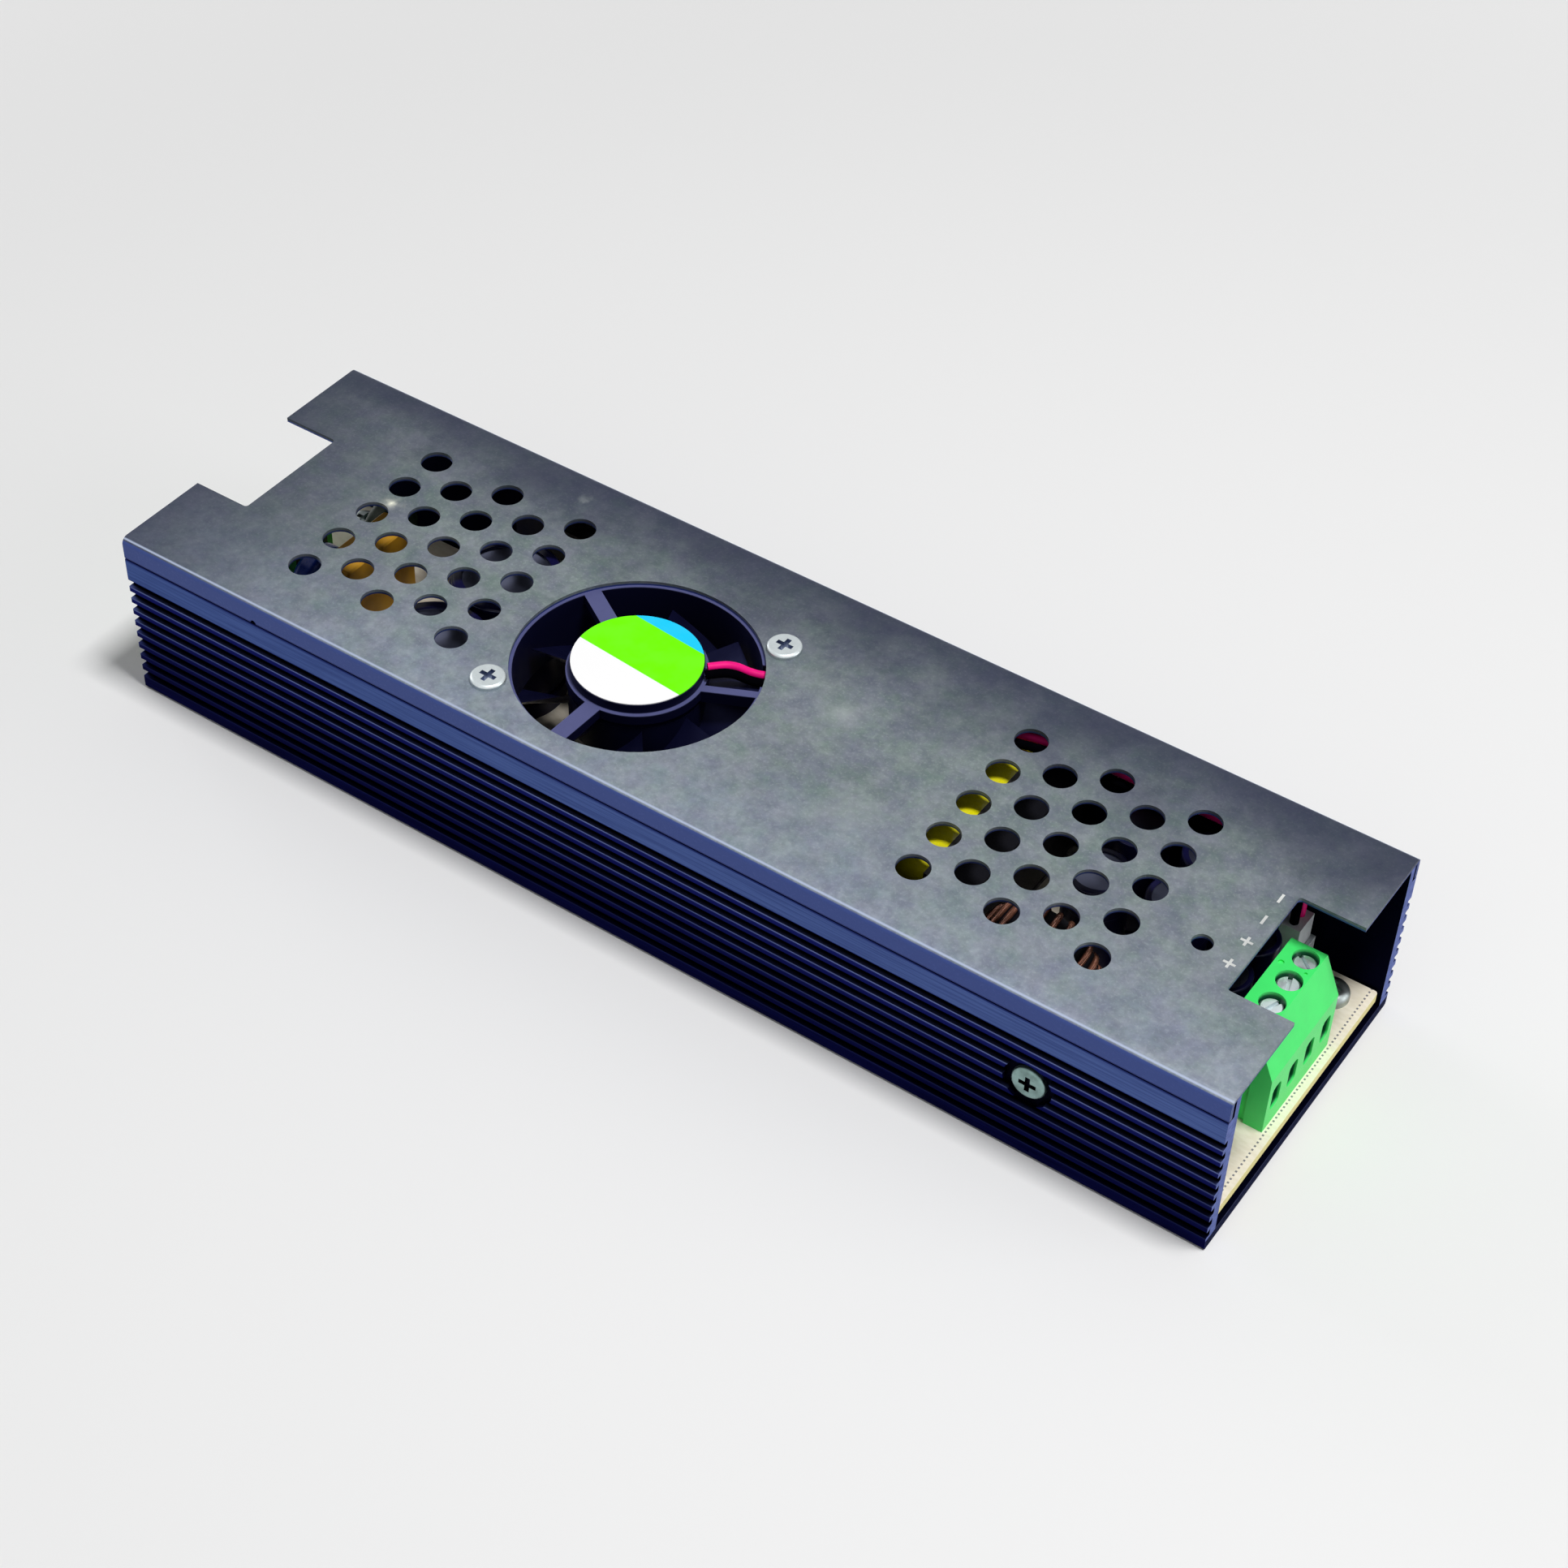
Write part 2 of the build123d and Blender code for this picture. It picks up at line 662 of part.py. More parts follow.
export_step(fan_stator.part, "parts/fan_stator.step")

# Round label on the boss of the hub
with BuildPart() as fan_label:
    with BuildSketch(Plane.XY.offset(fan_top + fan_boss_height)):
        with Locations((fan_x, fan_y)):
            Circle(fan_boss_radius - label_margin)
    extrude(amount=label_thickness)
fan_label.part.label = "fan_label"
export_step(fan_label.part, "parts/fan_label.step")

# Magnet ring pressed into the rotor cup
with BuildPart() as fan_magnet:
    with BuildSketch(Plane.XY.offset(cup_floor_z + fan_cup_wall)):
        with Locations((fan_x, fan_y)):
            Circle(fan_cup_radius - fan_cup_wall - fit_clearance)
            Circle(magnet_inner_radius, mode=Mode.SUBTRACT)
    extrude(amount=cup_top_z - cup_floor_z - fan_cup_wall)
fan_magnet.part.label = "fan_magnet"
export_step(fan_magnet.part, "parts/fan_magnet.step")

# Shaft fixed in the floor of the rotor cup
with BuildPart() as fan_shaft:
    with BuildSketch(Plane.XY.offset(cup_floor_z)):
        with Locations((fan_x, fan_y)):
            Circle(fan_shaft_diameter / 2)
    extrude(amount=lead_floor_z - cup_floor_z - fan_tip_clearance)
fan_shaft.part.label = "fan_shaft"
export_step(fan_shaft.part, "parts/fan_shaft.step")

# Rotor: cup with twisted blades, each lofted from its root to its tip
blade_root_radius = fan_cup_radius - fan_cup_wall
blade_tip_radius = fan_bore_radius - fan_tip_clearance
blade_mid_z = (cup_floor_z + cup_top_z) / 2
blade_rise = (cup_top_z - cup_floor_z) / 2 - fan_blade_thickness / 2


def blade_plane(radius, angle):
    """Plane across a blade at a radius: x along the turn, y up, normal outwards."""
    turn = radians(angle)
    return Plane(
        origin=(fan_x + radius * cos(turn), fan_y + radius * sin(turn), blade_mid_z),
        x_dir=(-sin(turn), cos(turn), 0),
        z_dir=(cos(turn), sin(turn), 0),
    )


def blade_section(radius, angle, half_chord, half_rise):
    """Cambered blade section between its lower and its upper edge."""
    with BuildSketch(blade_plane(radius, angle)) as section:
        with BuildLine():
            low = (-half_chord, -half_rise)
            high = (half_chord, half_rise)
            ThreePointArc(low, (fan_blade_outer_camber, -fan_blade_outer_camber), high)
            ThreePointArc(high, (fan_blade_inner_camber, -fan_blade_inner_camber), low)
        make_face()
    return section.sketch


with BuildPart() as fan_rotor:
    for k in range(fan_blade_count):
        blade_angle = fan_blade_phase + k * 360 / fan_blade_count
        root = blade_section(blade_root_radius, blade_angle, fan_cup_radius / 4, blade_rise)
        tip_rise = blade_rise * fan_blade_tip_taper
        tip = blade_section(fan_bore_radius, blade_angle, fan_bore_radius / 4, tip_rise)
        loft(sections=[root, tip])
    with BuildSketch(Plane.XY.offset(cup_floor_z)):
        with Locations((fan_x, fan_y)):
            Circle(blade_tip_radius)
    extrude(amount=cup_top_z - cup_floor_z, mode=Mode.INTERSECT)
    with BuildSketch(Plane.XY.offset(cup_floor_z)):
        with Locations((fan_x, fan_y)):
            Circle(fan_cup_radius)
    extrude(amount=cup_top_z - cup_floor_z)
    with BuildSketch(Plane.XY.offset(cup_floor_z + fan_cup_wall)):
        with Locations((fan_x, fan_y)):
            Circle(fan_cup_radius - fan_cup_wall)
    extrude(amount=cup_top_z - cup_floor_z - fan_cup_wall, mode=Mode.SUBTRACT)
    with BuildSketch(Plane.XY.offset(cup_floor_z)):
        with Locations((fan_x, fan_y)):
            Circle(fan_shaft_diameter / 2)
    extrude(amount=fan_cup_wall, mode=Mode.SUBTRACT)
fan_rotor.part.label = "fan_rotor"
export_step(fan_rotor.part, "parts/fan_rotor.step")


def block_plane(front_x, inward, centre_y):
    """Plane of a terminal block's side view: x in from the front face, y up from the board."""
    return Plane(
        origin=(front_x, centre_y, board_top), x_dir=(inward, 0, 0), z_dir=(0, -inward, 0)
    )


def terminal_housing(front_x, inward, centre_y, pole_ys):
    """Moulded terminal block with a screw well, a clamp chamber and a wire entry at each pole."""
    block_width = len(pole_ys) * pole_pitch
    clamp_x = front_x + inward * well_setback
    with BuildPart() as housing:
        with BuildSketch(block_plane(front_x, inward, centre_y)):
            with BuildLine():
                Polyline(
                    (0, 0),
                    (0, block_front_height),
                    (block_chamfer, block_height),
                    (block_depth, block_height),
                    (block_depth, 0),
                    close=True,
                )
            make_face()
        extrude(amount=block_width / 2, both=True)
        with BuildSketch(Plane.XY.offset(block_top)):
            with Locations((front_x + inward * block_key_inset, centre_y - block_width / 2)):
                Rectangle(block_key_width, block_key_width)
        extrude(amount=-block_height, mode=Mode.SUBTRACT)
        with BuildSketch(Plane.XY.offset(block_top)):
            for setback, diameter in block_mark_places:
                with Locations((front_x + inward * setback, pole_ys[-1] - pole_pitch / 2)):
                    Circle(diameter / 2)
        extrude(amount=-block_mark_depth, mode=Mode.SUBTRACT)
        with Locations(*[(clamp_x, y, block_top) for y in pole_ys]):
            CounterBoreHole(
                radius=clamp_screw_diameter / 2 + cage_clearance,
                counter_bore_radius=well_diameter / 2,
                counter_bore_depth=block_top - head_base + cage_clearance,
                depth=block_top - chamber_floor - cage_clearance,
            )
        with BuildSketch(Plane.XY.offset(chamber_floor)):
            chamber_x = clamp_x + inward * (chamber_back - chamber_front) / 2
            with Locations(*[(chamber_x, y) for y in pole_ys]):
                Rectangle(chamber_back + chamber_front, cage_width + 2 * cage_clearance)
        extrude(amount=chamber_top - chamber_floor, mode=Mode.SUBTRACT)
        with BuildSketch(Plane.YZ.offset(front_x)):
            with Locations(*[(y, entry_z) for y in pole_ys]):
                RectangleRounded(entry_width, entry_height, entry_corner)
        extrude(amount=inward * well_setback, mode=Mode.SUBTRACT)
        with BuildSketch(Plane.XY.offset(board_top)):
            with Locations(*[(clamp_x + inward * contact_leg_setback, y) for y in pole_ys]):
                Rectangle(contact_thickness + 2 * fit_clearance, contact_width + 2 * fit_clearance)
        extrude(amount=chamber_floor - board_top, mode=Mode.SUBTRACT)
    return housing.part


def terminal_contacts(clamp_x, inward, pole_ys):
    """Current bars: a leg through the board behind each clamp, a tongue inside its cage."""
    leg_x = clamp_x + inward * contact_leg_setback
    tongue_x = clamp_x - inward * (cage_half - cage_wall)
    with BuildPart() as contacts:
        with BuildSketch(Plane.XY.offset(contact_z)):
            with Locations(*[((leg_x + tongue_x) / 2, y) for y in pole_ys]):
                Rectangle(abs(leg_x - tongue_x) + contact_thickness, contact_width)
        extrude(amount=contact_thickness)
        with BuildSketch(Plane.XY.offset(board_top)):
            with Locations(*[(leg_x, y) for y in pole_ys]):
                Rectangle(contact_thickness, contact_width)
        extrude(amount=contact_z - board_top)
        with BuildSketch(Plane.XY.offset(board_top)):
            with Locations(*[(leg_x, y) for y in pole_ys]):
                Rectangle(contact_thickness, contact_width / 2)
        extrude(amount=-pin_length)
    return contacts.part


# Terminal blocks and their current bars
with BuildPart() as output_terminal:
    add(terminal_housing(output_front, -1, output_block_y, output_pole_y))
output_terminal.part.label = "output_terminal"
export_step(output_terminal.part, "parts/output_terminal.step")

with BuildPart() as input_terminal:
    add(terminal_housing(input_front, 1, input_block_y, input_pole_y))
input_terminal.part.label = "input_terminal"
export_step(input_terminal.part, "parts/input_terminal.step")

with BuildPart() as output_contacts:
    add(terminal_contacts(output_clamp_x, -1, output_pole_y))
output_contacts.part.label = "output_contacts"
export_step(output_contacts.part, "parts/output_contacts.step")

with BuildPart() as input_contacts:
    add(terminal_contacts(input_clamp_x, 1, input_pole_y))
input_contacts.part.label = "input_contacts"
export_step(input_contacts.part, "parts/input_contacts.step")

# Clamp screws and rising cages of both blocks
clamp_places = [("output", output_clamp_x, k, y) for k, y in enumerate(output_pole_y, 1)] + [
    ("input", input_clamp_x, k, y) for k, y in enumerate(input_pole_y, 1)
]
for block, clamp_x, number, clamp_y in clamp_places:
    with BuildPart() as clamp_screw:
        with BuildSketch(Plane.XY.offset(head_base)):
            with Locations((clamp_x, clamp_y)):
                Circle(clamp_head_diameter / 2)
        extrude(amount=clamp_head_height)
        head_rim = clamp_screw.edges().filter_by(GeomType.CIRCLE).sort_by(Axis.Z)[-1]
        chamfer(head_rim, length=clamp_head_chamfer)
        with BuildSketch(Plane.XY.offset(head_base)):
            with Locations((clamp_x, clamp_y)):
                Circle(clamp_screw_diameter / 2)
        extrude(amount=cage_window_top + cage_clearance - head_base)
        with BuildSketch(Plane.XY.offset(head_top)):
            with Locations(Location((clamp_x, clamp_y), clamp_slot_step * number)):
                Rectangle(clamp_head_diameter, clamp_slot_width)
        extrude(amount=-clamp_slot_depth, mode=Mode.SUBTRACT)
    clamp_screw.part.label = f"{block}_screw_{number}"
    export_step(clamp_screw.part, f"parts/{block}_screw_{number}.step")

    with BuildPart() as clamp_cage:
        with BuildSketch(Plane.XY.offset(cage_bottom)):
            with Locations((clamp_x, clamp_y)):
                Rectangle(cage_length, cage_width)
        extrude(amount=cage_top - cage_bottom)
        with BuildSketch(Plane.XY.offset(cage_window_base)):
            with Locations((clamp_x, clamp_y)):
                Rectangle(cage_length, cage_width - 2 * cage_wall)
        extrude(amount=cage_window, mode=Mode.SUBTRACT)
        with BuildSketch(Plane.XY.offset(cage_window_top)):
            with Locations((clamp_x, clamp_y)):
                Circle(clamp_screw_diameter / 2 + fit_clearance)
        extrude(amount=cage_collar, mode=Mode.SUBTRACT)
    clamp_cage.part.label = f"{block}_cage_{number}"
    export_step(clamp_cage.part, f"parts/{block}_cage_{number}.step")

# Transformer: two ferrite halves, the bobbin between them and its taped winding
transformer_mid_z = board_top + transformer_height / 2
core_window = transformer_width - 2 * core_side_leg
winding_length = transformer_length - 2 * (core_yoke + bobbin_wall + core_gap)
with BuildPart() as transformer_core:
    with BuildSketch(Plane.XY.offset(transformer_mid_z - core_height / 2)):
        with Locations((transformer_x, transformer_y)):
            Rectangle(transformer_length, transformer_width)
            Rectangle(transformer_length - 2 * core_yoke, core_window, mode=Mode.SUBTRACT)
            Rectangle(transformer_length, core_centre_leg)
            Rectangle(core_gap, transformer_width, mode=Mode.SUBTRACT)
    extrude(amount=core_height)
transformer_core.part.label = "transformer_core"
export_step(transformer_core.part, "parts/transformer_core.step")

bobbin_bore_width = core_centre_leg + 2 * core_gap
bobbin_bore_height = core_height + 2 * core_gap
with BuildPart() as transformer_bobbin:
    with BuildSketch(Plane.YZ.offset(transformer_x)):
        with Locations((transformer_y, transformer_mid_z)):
            Rectangle(bobbin_bore_width + 2 * bobbin_wall, bobbin_bore_height + 2 * bobbin_wall)
    extrude(amount=winding_length / 2, both=True)
    for end in (-1, 1):
        with BuildSketch(Plane.YZ.offset(transformer_x + end * winding_length / 2)):
            with Locations((transformer_y, transformer_mid_z)):
                Rectangle(core_window - 2 * core_gap, transformer_height)
        extrude(amount=end * bobbin_wall)
        with BuildSketch(Plane.XY.offset(board_top)):
            with Locations((transformer_x + end * (transformer_length - core_yoke) / 2, transformer_y)):
                Rectangle(core_yoke + 2 * core_gap, core_window - 2 * core_gap)
        extrude(amount=transformer_mid_z - core_height / 2 - core_gap - board_top)
    with BuildSketch(Plane.YZ.offset(transformer_x)):
        with Locations((transformer_y, transformer_mid_z)):
            Rectangle(bobbin_bore_width, bobbin_bore_height)
    extrude(amount=transformer_length / 2, both=True, mode=Mode.SUBTRACT)
transformer_bobbin.part.label = "transformer_bobbin"
export_step(transformer_bobbin.part, "parts/transformer_bobbin.step")

with BuildPart() as transformer_winding:
    with BuildSketch(Plane.YZ.offset(transformer_x)):
        with Locations((transformer_y, transformer_mid_z)):
            RectangleRounded(
                winding_width - 2 * core_gap, transformer_height - 2 * core_gap, winding_wall
            )
            Rectangle(
                bobbin_bore_width + 2 * bobbin_wall + 2 * fit_clearance,
                bobbin_bore_height + 2 * bobbin_wall + 2 * fit_clearance,
                mode=Mode.SUBTRACT,
            )
    extrude(amount=winding_length / 2 - fit_clearance, both=True)
transformer_winding.part.label = "transformer_winding"
export_step(transformer_winding.part, "parts/transformer_winding.step")

# Output choke: a standing ring core with one winding, open at its foot
choke_z = board_top + choke_reach
with BuildPart() as output_choke_core:
    with BuildSketch(Plane.XZ.offset(-choke_y)):
        with Locations((choke_x, choke_z)):
            Circle(choke_outer_radius)
            Circle(choke_inner_radius, mode=Mode.SUBTRACT)
    extrude(amount=choke_core_height / 2, both=True)
output_choke_core.part.label = "output_choke_core"
export_step(output_choke_core.part, "parts/output_choke_core.step")

with BuildPart() as output_choke_winding:
    with BuildSketch(Plane.XZ.offset(-choke_y)):
        with Locations((choke_x, choke_z)):
            Circle(choke_reach)
            Circle(choke_inner_radius - choke_winding_thickness, mode=Mode.SUBTRACT)
    extrude(amount=choke_core_height / 2 + choke_winding_thickness, both=True)
    rims = output_choke_winding.edges().filter_by(GeomType.CIRCLE)
    fillet(rims, radius=choke_winding_thickness)
    with BuildSketch(Plane.XZ.offset(-choke_y)):
        with Locations((choke_x, choke_z)):
            Circle(choke_outer_radius + fit_clearance)
            Circle(choke_inner_radius - fit_clearance, mode=Mode.SUBTRACT)
    extrude(amount=choke_core_height / 2 + fit_clearance, both=True, mode=Mode.SUBTRACT)
    with BuildSketch(Plane.XY.offset(board_top)):
        with Locations((choke_x, choke_y)):
            Rectangle(choke_inner_radius, 2 * choke_core_height)
    extrude(amount=choke_outer_radius, mode=Mode.SUBTRACT)
output_choke_winding.part.label = "output_choke_winding"
export_step(output_choke_winding.part, "parts/output_choke_winding.step")

# Line choke: a lying ring core with two separate windings
line_choke_z = board_top + line_choke_winding_thickness
with BuildPart() as line_choke_core:
    with BuildSketch(Plane.XY.offset(line_choke_z)):
        with Locations((line_choke_x, line_choke_y)):
            Circle(line_choke_outer_radius)
            Circle(line_choke_inner_radius, mode=Mode.SUBTRACT)
    extrude(amount=line_choke_core_height)
line_choke_core.part.label = "line_choke_core"
export_step(line_choke_core.part, "parts/line_choke_core.step")

with BuildPart() as line_choke_windings:
    with BuildSketch(Plane.XY.offset(board_top)):
        with Locations((line_choke_x, line_choke_y)):
            Circle(line_choke_outer_radius + line_choke_winding_thickness)
            Circle(line_choke_inner_radius - line_choke_winding_thickness, mode=Mode.SUBTRACT)
            Rectangle(4 * line_choke_outer_radius, line_choke_inner_radius, mode=Mode.SUBTRACT)
    extrude(amount=line_choke_core_height + 2 * line_choke_winding_thickness)
    with BuildSketch(Plane.XY.offset(line_choke_z - fit_clearance)):
        with Locations((line_choke_x, line_choke_y)):
            Circle(line_choke_outer_radius + fit_clearance)
            Circle(line_choke_inner_radius - fit_clearance, mode=Mode.SUBTRACT)
    extrude(amount=line_choke_core_height + 2 * fit_clearance, mode=Mode.SUBTRACT)
line_choke_windings.part.label = "line_choke_windings"
export_step(line_choke_windings.part, "parts/line_choke_windings.step")


def capacitor_can(diameter, height):
    """Electrolytic capacitor standing at the origin: rolled groove near the foot, dished top."""
    radius = diameter / 2
    groove = diameter * can_groove_share
    with BuildPart() as can:
        with BuildSketch():
            Circle(radius)
        extrude(amount=height)
        fillet(can.edges().filter_by(GeomType.CIRCLE).sort_by(Axis.Z)[-1], radius=groove)
        with BuildSketch(Plane.XY.offset(height)):
            Circle(radius * can_dish_share)
        extrude(amount=-groove / 2, mode=Mode.SUBTRACT)
        with BuildSketch(Plane.XY.offset(4 * groove)):
            Circle(radius)
            Circle(radius - groove, mode=Mode.SUBTRACT)
        extrude(amount=2 * groove, mode=Mode.SUBTRACT)
    return can.part


# Electrolytic capacitors
with BuildPart() as bulk_capacitors:
    bulk_can = capacitor_can(bulk_diameter, bulk_height)
    with Locations(*[(x, y, board_top) for x, y in bulk_positions]):
        add(bulk_can)
bulk_capacitors.part.label = "bulk_capacitors"
export_step(bulk_capacitors.part, "parts/bulk_capacitors.step")

with BuildPart() as output_capacitors:
    output_can = capacitor_can(output_can_diameter, output_can_height)
    with Locations(*[(x, y, board_top) for x, y in output_can_positions]):
        add(output_can)
output_capacitors.part.label = "output_capacitors"
export_step(output_capacitors.part, "parts/output_capacitors.step")

with BuildPart() as small_capacitors:
    small_can = capacitor_can(small_can_diameter, small_can_height)
    with Locations(*[(x, y, board_top) for x, y in small_can_positions]):
        add(small_can)
small_capacitors.part.label = "small_capacitors"
export_step(small_capacitors.part, "parts/small_capacitors.step")

# Boxed line capacitor
with BuildPart() as line_capacitor:
    with BuildSketch(Plane.XY.offset(board_top)):
        with Locations((line_capacitor_x, line_capacitor_y)):
            RectangleRounded(line_capacitor_size[0], line_capacitor_size[1], line_capacitor_corner)
    extrude(amount=line_capacitor_size[2])
    chamfer(line_capacitor.faces().sort_by(Axis.Z)[-1].edges(), length=edge_chamfer)
line_capacitor.part.label = "line_capacitor"
export_step(line_capacitor.part, "parts/line_capacitor.step")


def leaded_disc(diameter, thickness):
    """Coated disc part that stands across X on two wire leads, its foot at the origin."""
    with BuildPart() as disc:
        with BuildSketch(Plane.YZ):
            with Locations((0, disc_lead_height + diameter / 2)):
                Circle(diameter / 2)
        extrude(amount=thickness / 2, both=True)
        fillet(disc.edges().filter_by(GeomType.CIRCLE), radius=disc_rounding)
        with BuildSketch():
            with Locations((0, -disc_lead_pitch / 2), (0, disc_lead_pitch / 2)):
                Circle(disc_lead_diameter / 2)
        extrude(amount=disc_lead_height + diameter / 4)
    return disc.part


# Coated discs: varistor, inrush thermistor and safety capacitors
with BuildPart() as varistor:
    with Locations((varistor_x, varistor_y, board_top)):
        add(leaded_disc(varistor_diameter, disc_thickness))
varistor.part.label = "varistor"
export_step(varistor.part, "parts/varistor.step")

with BuildPart() as inrush_thermistor:
    with Locations((thermistor_x, thermistor_y, board_top)):
        add(leaded_disc(thermistor_diameter, disc_thickness))
inrush_thermistor.part.label = "inrush_thermistor"
export_step(inrush_thermistor.part, "parts/inrush_thermistor.step")

with BuildPart() as safety_capacitors:
    with Locations(*[(x, y, board_top) for x, y in safety_disc_positions]):
        add(leaded_disc(safety_disc_diameter, disc_thickness))
safety_capacitors.part.label = "safety_capacitors"
export_step(safety_capacitors.part, "parts/safety_capacitors.step")

# Fuse in a round case
with BuildPart() as fuse:
    with BuildSketch(Plane.XY.offset(board_top)):
        with Locations((fuse_x, fuse_y)):
            Circle(fuse_diameter / 2)
    extrude(amount=fuse_height)
    chamfer(fuse.edges().filter_by(GeomType.CIRCLE).sort_by(Axis.Z)[-1], length=fuse_chamfer)
fuse.part.label = "fuse"
export_step(fuse.part, "parts/fuse.step")

# Trimmer: body with a sunk disc that a small screwdriver turns
trimmer_top = board_top + trimmer_height
with BuildPart() as trimmer_body:
    with BuildSketch(Plane.XY.offset(board_top)):
        with Locations((trimmer_x, trimmer_y)):
            Rectangle(trimmer_size, trimmer_size)
    extrude(amount=trimmer_height)
    chamfer(trimmer_body.faces().sort_by(Axis.Z)[-1].edges(), length=edge_chamfer)
    with BuildSketch(Plane.XY.offset(trimmer_top)):
        with Locations((trimmer_x, trimmer_y)):
            Circle(trimmer_rotor_diameter / 2 + fit_clearance)
    extrude(amount=-trimmer_rotor_depth, mode=Mode.SUBTRACT)
trimmer_body.part.label = "trimmer_body"
export_step(trimmer_body.part, "parts/trimmer_body.step")

with BuildPart() as trimmer_rotor:
    with BuildSketch(Plane.XY.offset(trimmer_top - trimmer_rotor_depth)):
        with Locations((trimmer_x, trimmer_y)):
            Circle(trimmer_rotor_diameter / 2)
    extrude(amount=trimmer_rotor_height)
    with BuildSketch(Plane.XY.offset(trimmer_top - trimmer_rotor_depth + trimmer_rotor_height)):
        with Locations(Location((trimmer_x, trimmer_y), trimmer_slot_angle)):
            Rectangle(trimmer_rotor_diameter, trimmer_slot_width)
    extrude(amount=-trimmer_rotor_height / 2, mode=Mode.SUBTRACT)
trimmer_rotor.part.label = "trimmer_rotor"
export_step(trimmer_rotor.part, "parts/trimmer_rotor.step")

# Thermal pads on the inner faces of the walls
pad_fields = (
    (rectifier_clamp_x, -1, rectifier_spacing + device_width, device_lift, device_tab_height),
    (mosfet_clamp_x, 1, mosfet_spacing + device_width, device_lift, device_tab_height),
    (bridge_x, 1, bridge_width, bridge_lift, bridge_height),
)
with BuildPart() as thermal_pads:
    for x, side, width, lift, height in pad_fields:
        with BuildSketch(wall_plane(x, side, inner_half, board_top + lift + height / 2)):
            Rectangle(width + 2 * pad_margin, height + 2 * pad_margin)
        extrude(amount=-pad_thickness)
        with BuildSketch(wall_plane(x, side, inner_half, wall_screw_height)):
            Circle(screw_radius + fit_clearance)
        extrude(amount=-pad_thickness, mode=Mode.SUBTRACT)
thermal_pads.part.label = "thermal_pads"
export_step(thermal_pads.part, "parts/thermal_pads.step")


def tab_device():
    """Three-legged power device: back of its tab on the XZ plane, the board's top at z 0."""
    with BuildPart() as device:
        with BuildSketch(Plane.XZ):
            with Locations((0, device_lift + device_tab_height / 2)):
                Rectangle(device_width, device_tab_height)
            with Locations((0, device_lift + device_tab_height - device_hole_from_top)):
                Circle(device_hole_diameter / 2, mode=Mode.SUBTRACT)
        extrude(amount=device_tab_thickness)
        with BuildSketch(Plane.XZ):
            with Locations((0, device_lift + device_body_height / 2)):
                Rectangle(device_width, device_body_height)
        extrude(amount=device_body_thickness)
        leg_middle = (device_lift - pin_length) / 2
        with BuildSketch(Plane.XZ.offset(device_tab_thickness + device_leg_thickness / 2)):
            with Locations(*[(k * device_leg_pitch, leg_middle) for k in (-1, 0, 1)]):
                Rectangle(device_leg_width, device_lift + pin_length)
        extrude(amount=device_leg_thickness)
    return device.part


# Power devices with their legs in the board
power_device = tab_device()
device_back_y = inner_half - pad_thickness
with BuildPart() as mosfets:
    with Locations(*[(x, device_back_y, board_top) for x in mosfet_x]):
        add(power_device)
mosfets.part.label = "mosfets"
export_step(mosfets.part, "parts/mosfets.step")

with BuildPart() as output_rectifiers:
    with Locations(*[Location((x, -device_back_y, board_top), (0, 0, 180)) for x in rectifier_x]):
        add(power_device)
output_rectifiers.part.label = "output_rectifiers"
export_step(output_rectifiers.part, "parts/output_rectifiers.step")

bridge_mid_z = board_top + bridge_lift + bridge_height / 2
with BuildPart() as bridge_rectifier:
    with BuildSketch(wall_plane(bridge_x, 1, device_back_y, bridge_mid_z)):
        Rectangle(bridge_width, bridge_height)
    extrude(amount=-bridge_thickness)
    with BuildSketch(wall_plane(bridge_x, 1, device_back_y, wall_screw_height)):
        Circle(screw_radius + fit_clearance)
    extrude(amount=-bridge_thickness, mode=Mode.SUBTRACT)
    with BuildSketch(Plane.XY.offset(board_top + bridge_lift)):
        with Locations(*[(bridge_x + k * bridge_leg_pitch, device_leg_y) for k in bridge_leg_steps]):
            Rectangle(device_leg_width, device_leg_thickness)
    extrude(amount=-bridge_lift - pin_length)
bridge_rectifier.part.label = "bridge_rectifier"
export_step(bridge_rectifier.part, "parts/bridge_rectifier.step")

# Bars that press the paired devices to the walls
with BuildPart() as clamp_bars:
    for x, side, spacing in (
        (rectifier_clamp_x, -1, rectifier_spacing),
        (mosfet_clamp_x, 1, mosfet_spacing),
    ):
        with BuildSketch(wall_plane(x, side, bar_face_y, wall_screw_height)):
            Rectangle(spacing + device_width / 2, bar_height)
            Circle(screw_radius + fit_clearance, mode=Mode.SUBTRACT)
        extrude(amount=-bar_thickness)
clamp_bars.part.label = "clamp_bars"
export_step(clamp_bars.part, "parts/clamp_bars.step")

# Fan connector: header on the board with two pins, and the plug in it
header_top = board_top + header_height
plug_base = header_top - plug_overlap
plug_top = plug_base + plug_height
cavity_width = connector_width - 2 * connector_wall
cavity_length = connector_length - 2 * connector_wall
with BuildPart() as fan_header:
    with BuildSketch(Plane.XY.offset(board_top)):
        with Locations((connector_x, connector_y)):
            Rectangle(connector_width, connector_length)
    extrude(amount=header_height)
    with BuildSketch(Plane.XY.offset(header_top)):
        with Locations((connector_x, connector_y)):
            Rectangle(cavity_width, cavity_length)
    extrude(amount=-plug_overlap, mode=Mode.SUBTRACT)
    with BuildSketch(Plane.XY.offset(plug_base)):
        with Locations(*header_pin_places):
            Rectangle(pin_width, pin_width)
    extrude(amount=pin_reach)
    with BuildSketch(Plane.XY.offset(board_top)):
        with Locations(*header_pin_places):
            Rectangle(pin_width, pin_width)
    extrude(amount=-pin_length)
fan_header.part.label = "fan_header"
export_step(fan_header.part, "parts/fan_header.step")

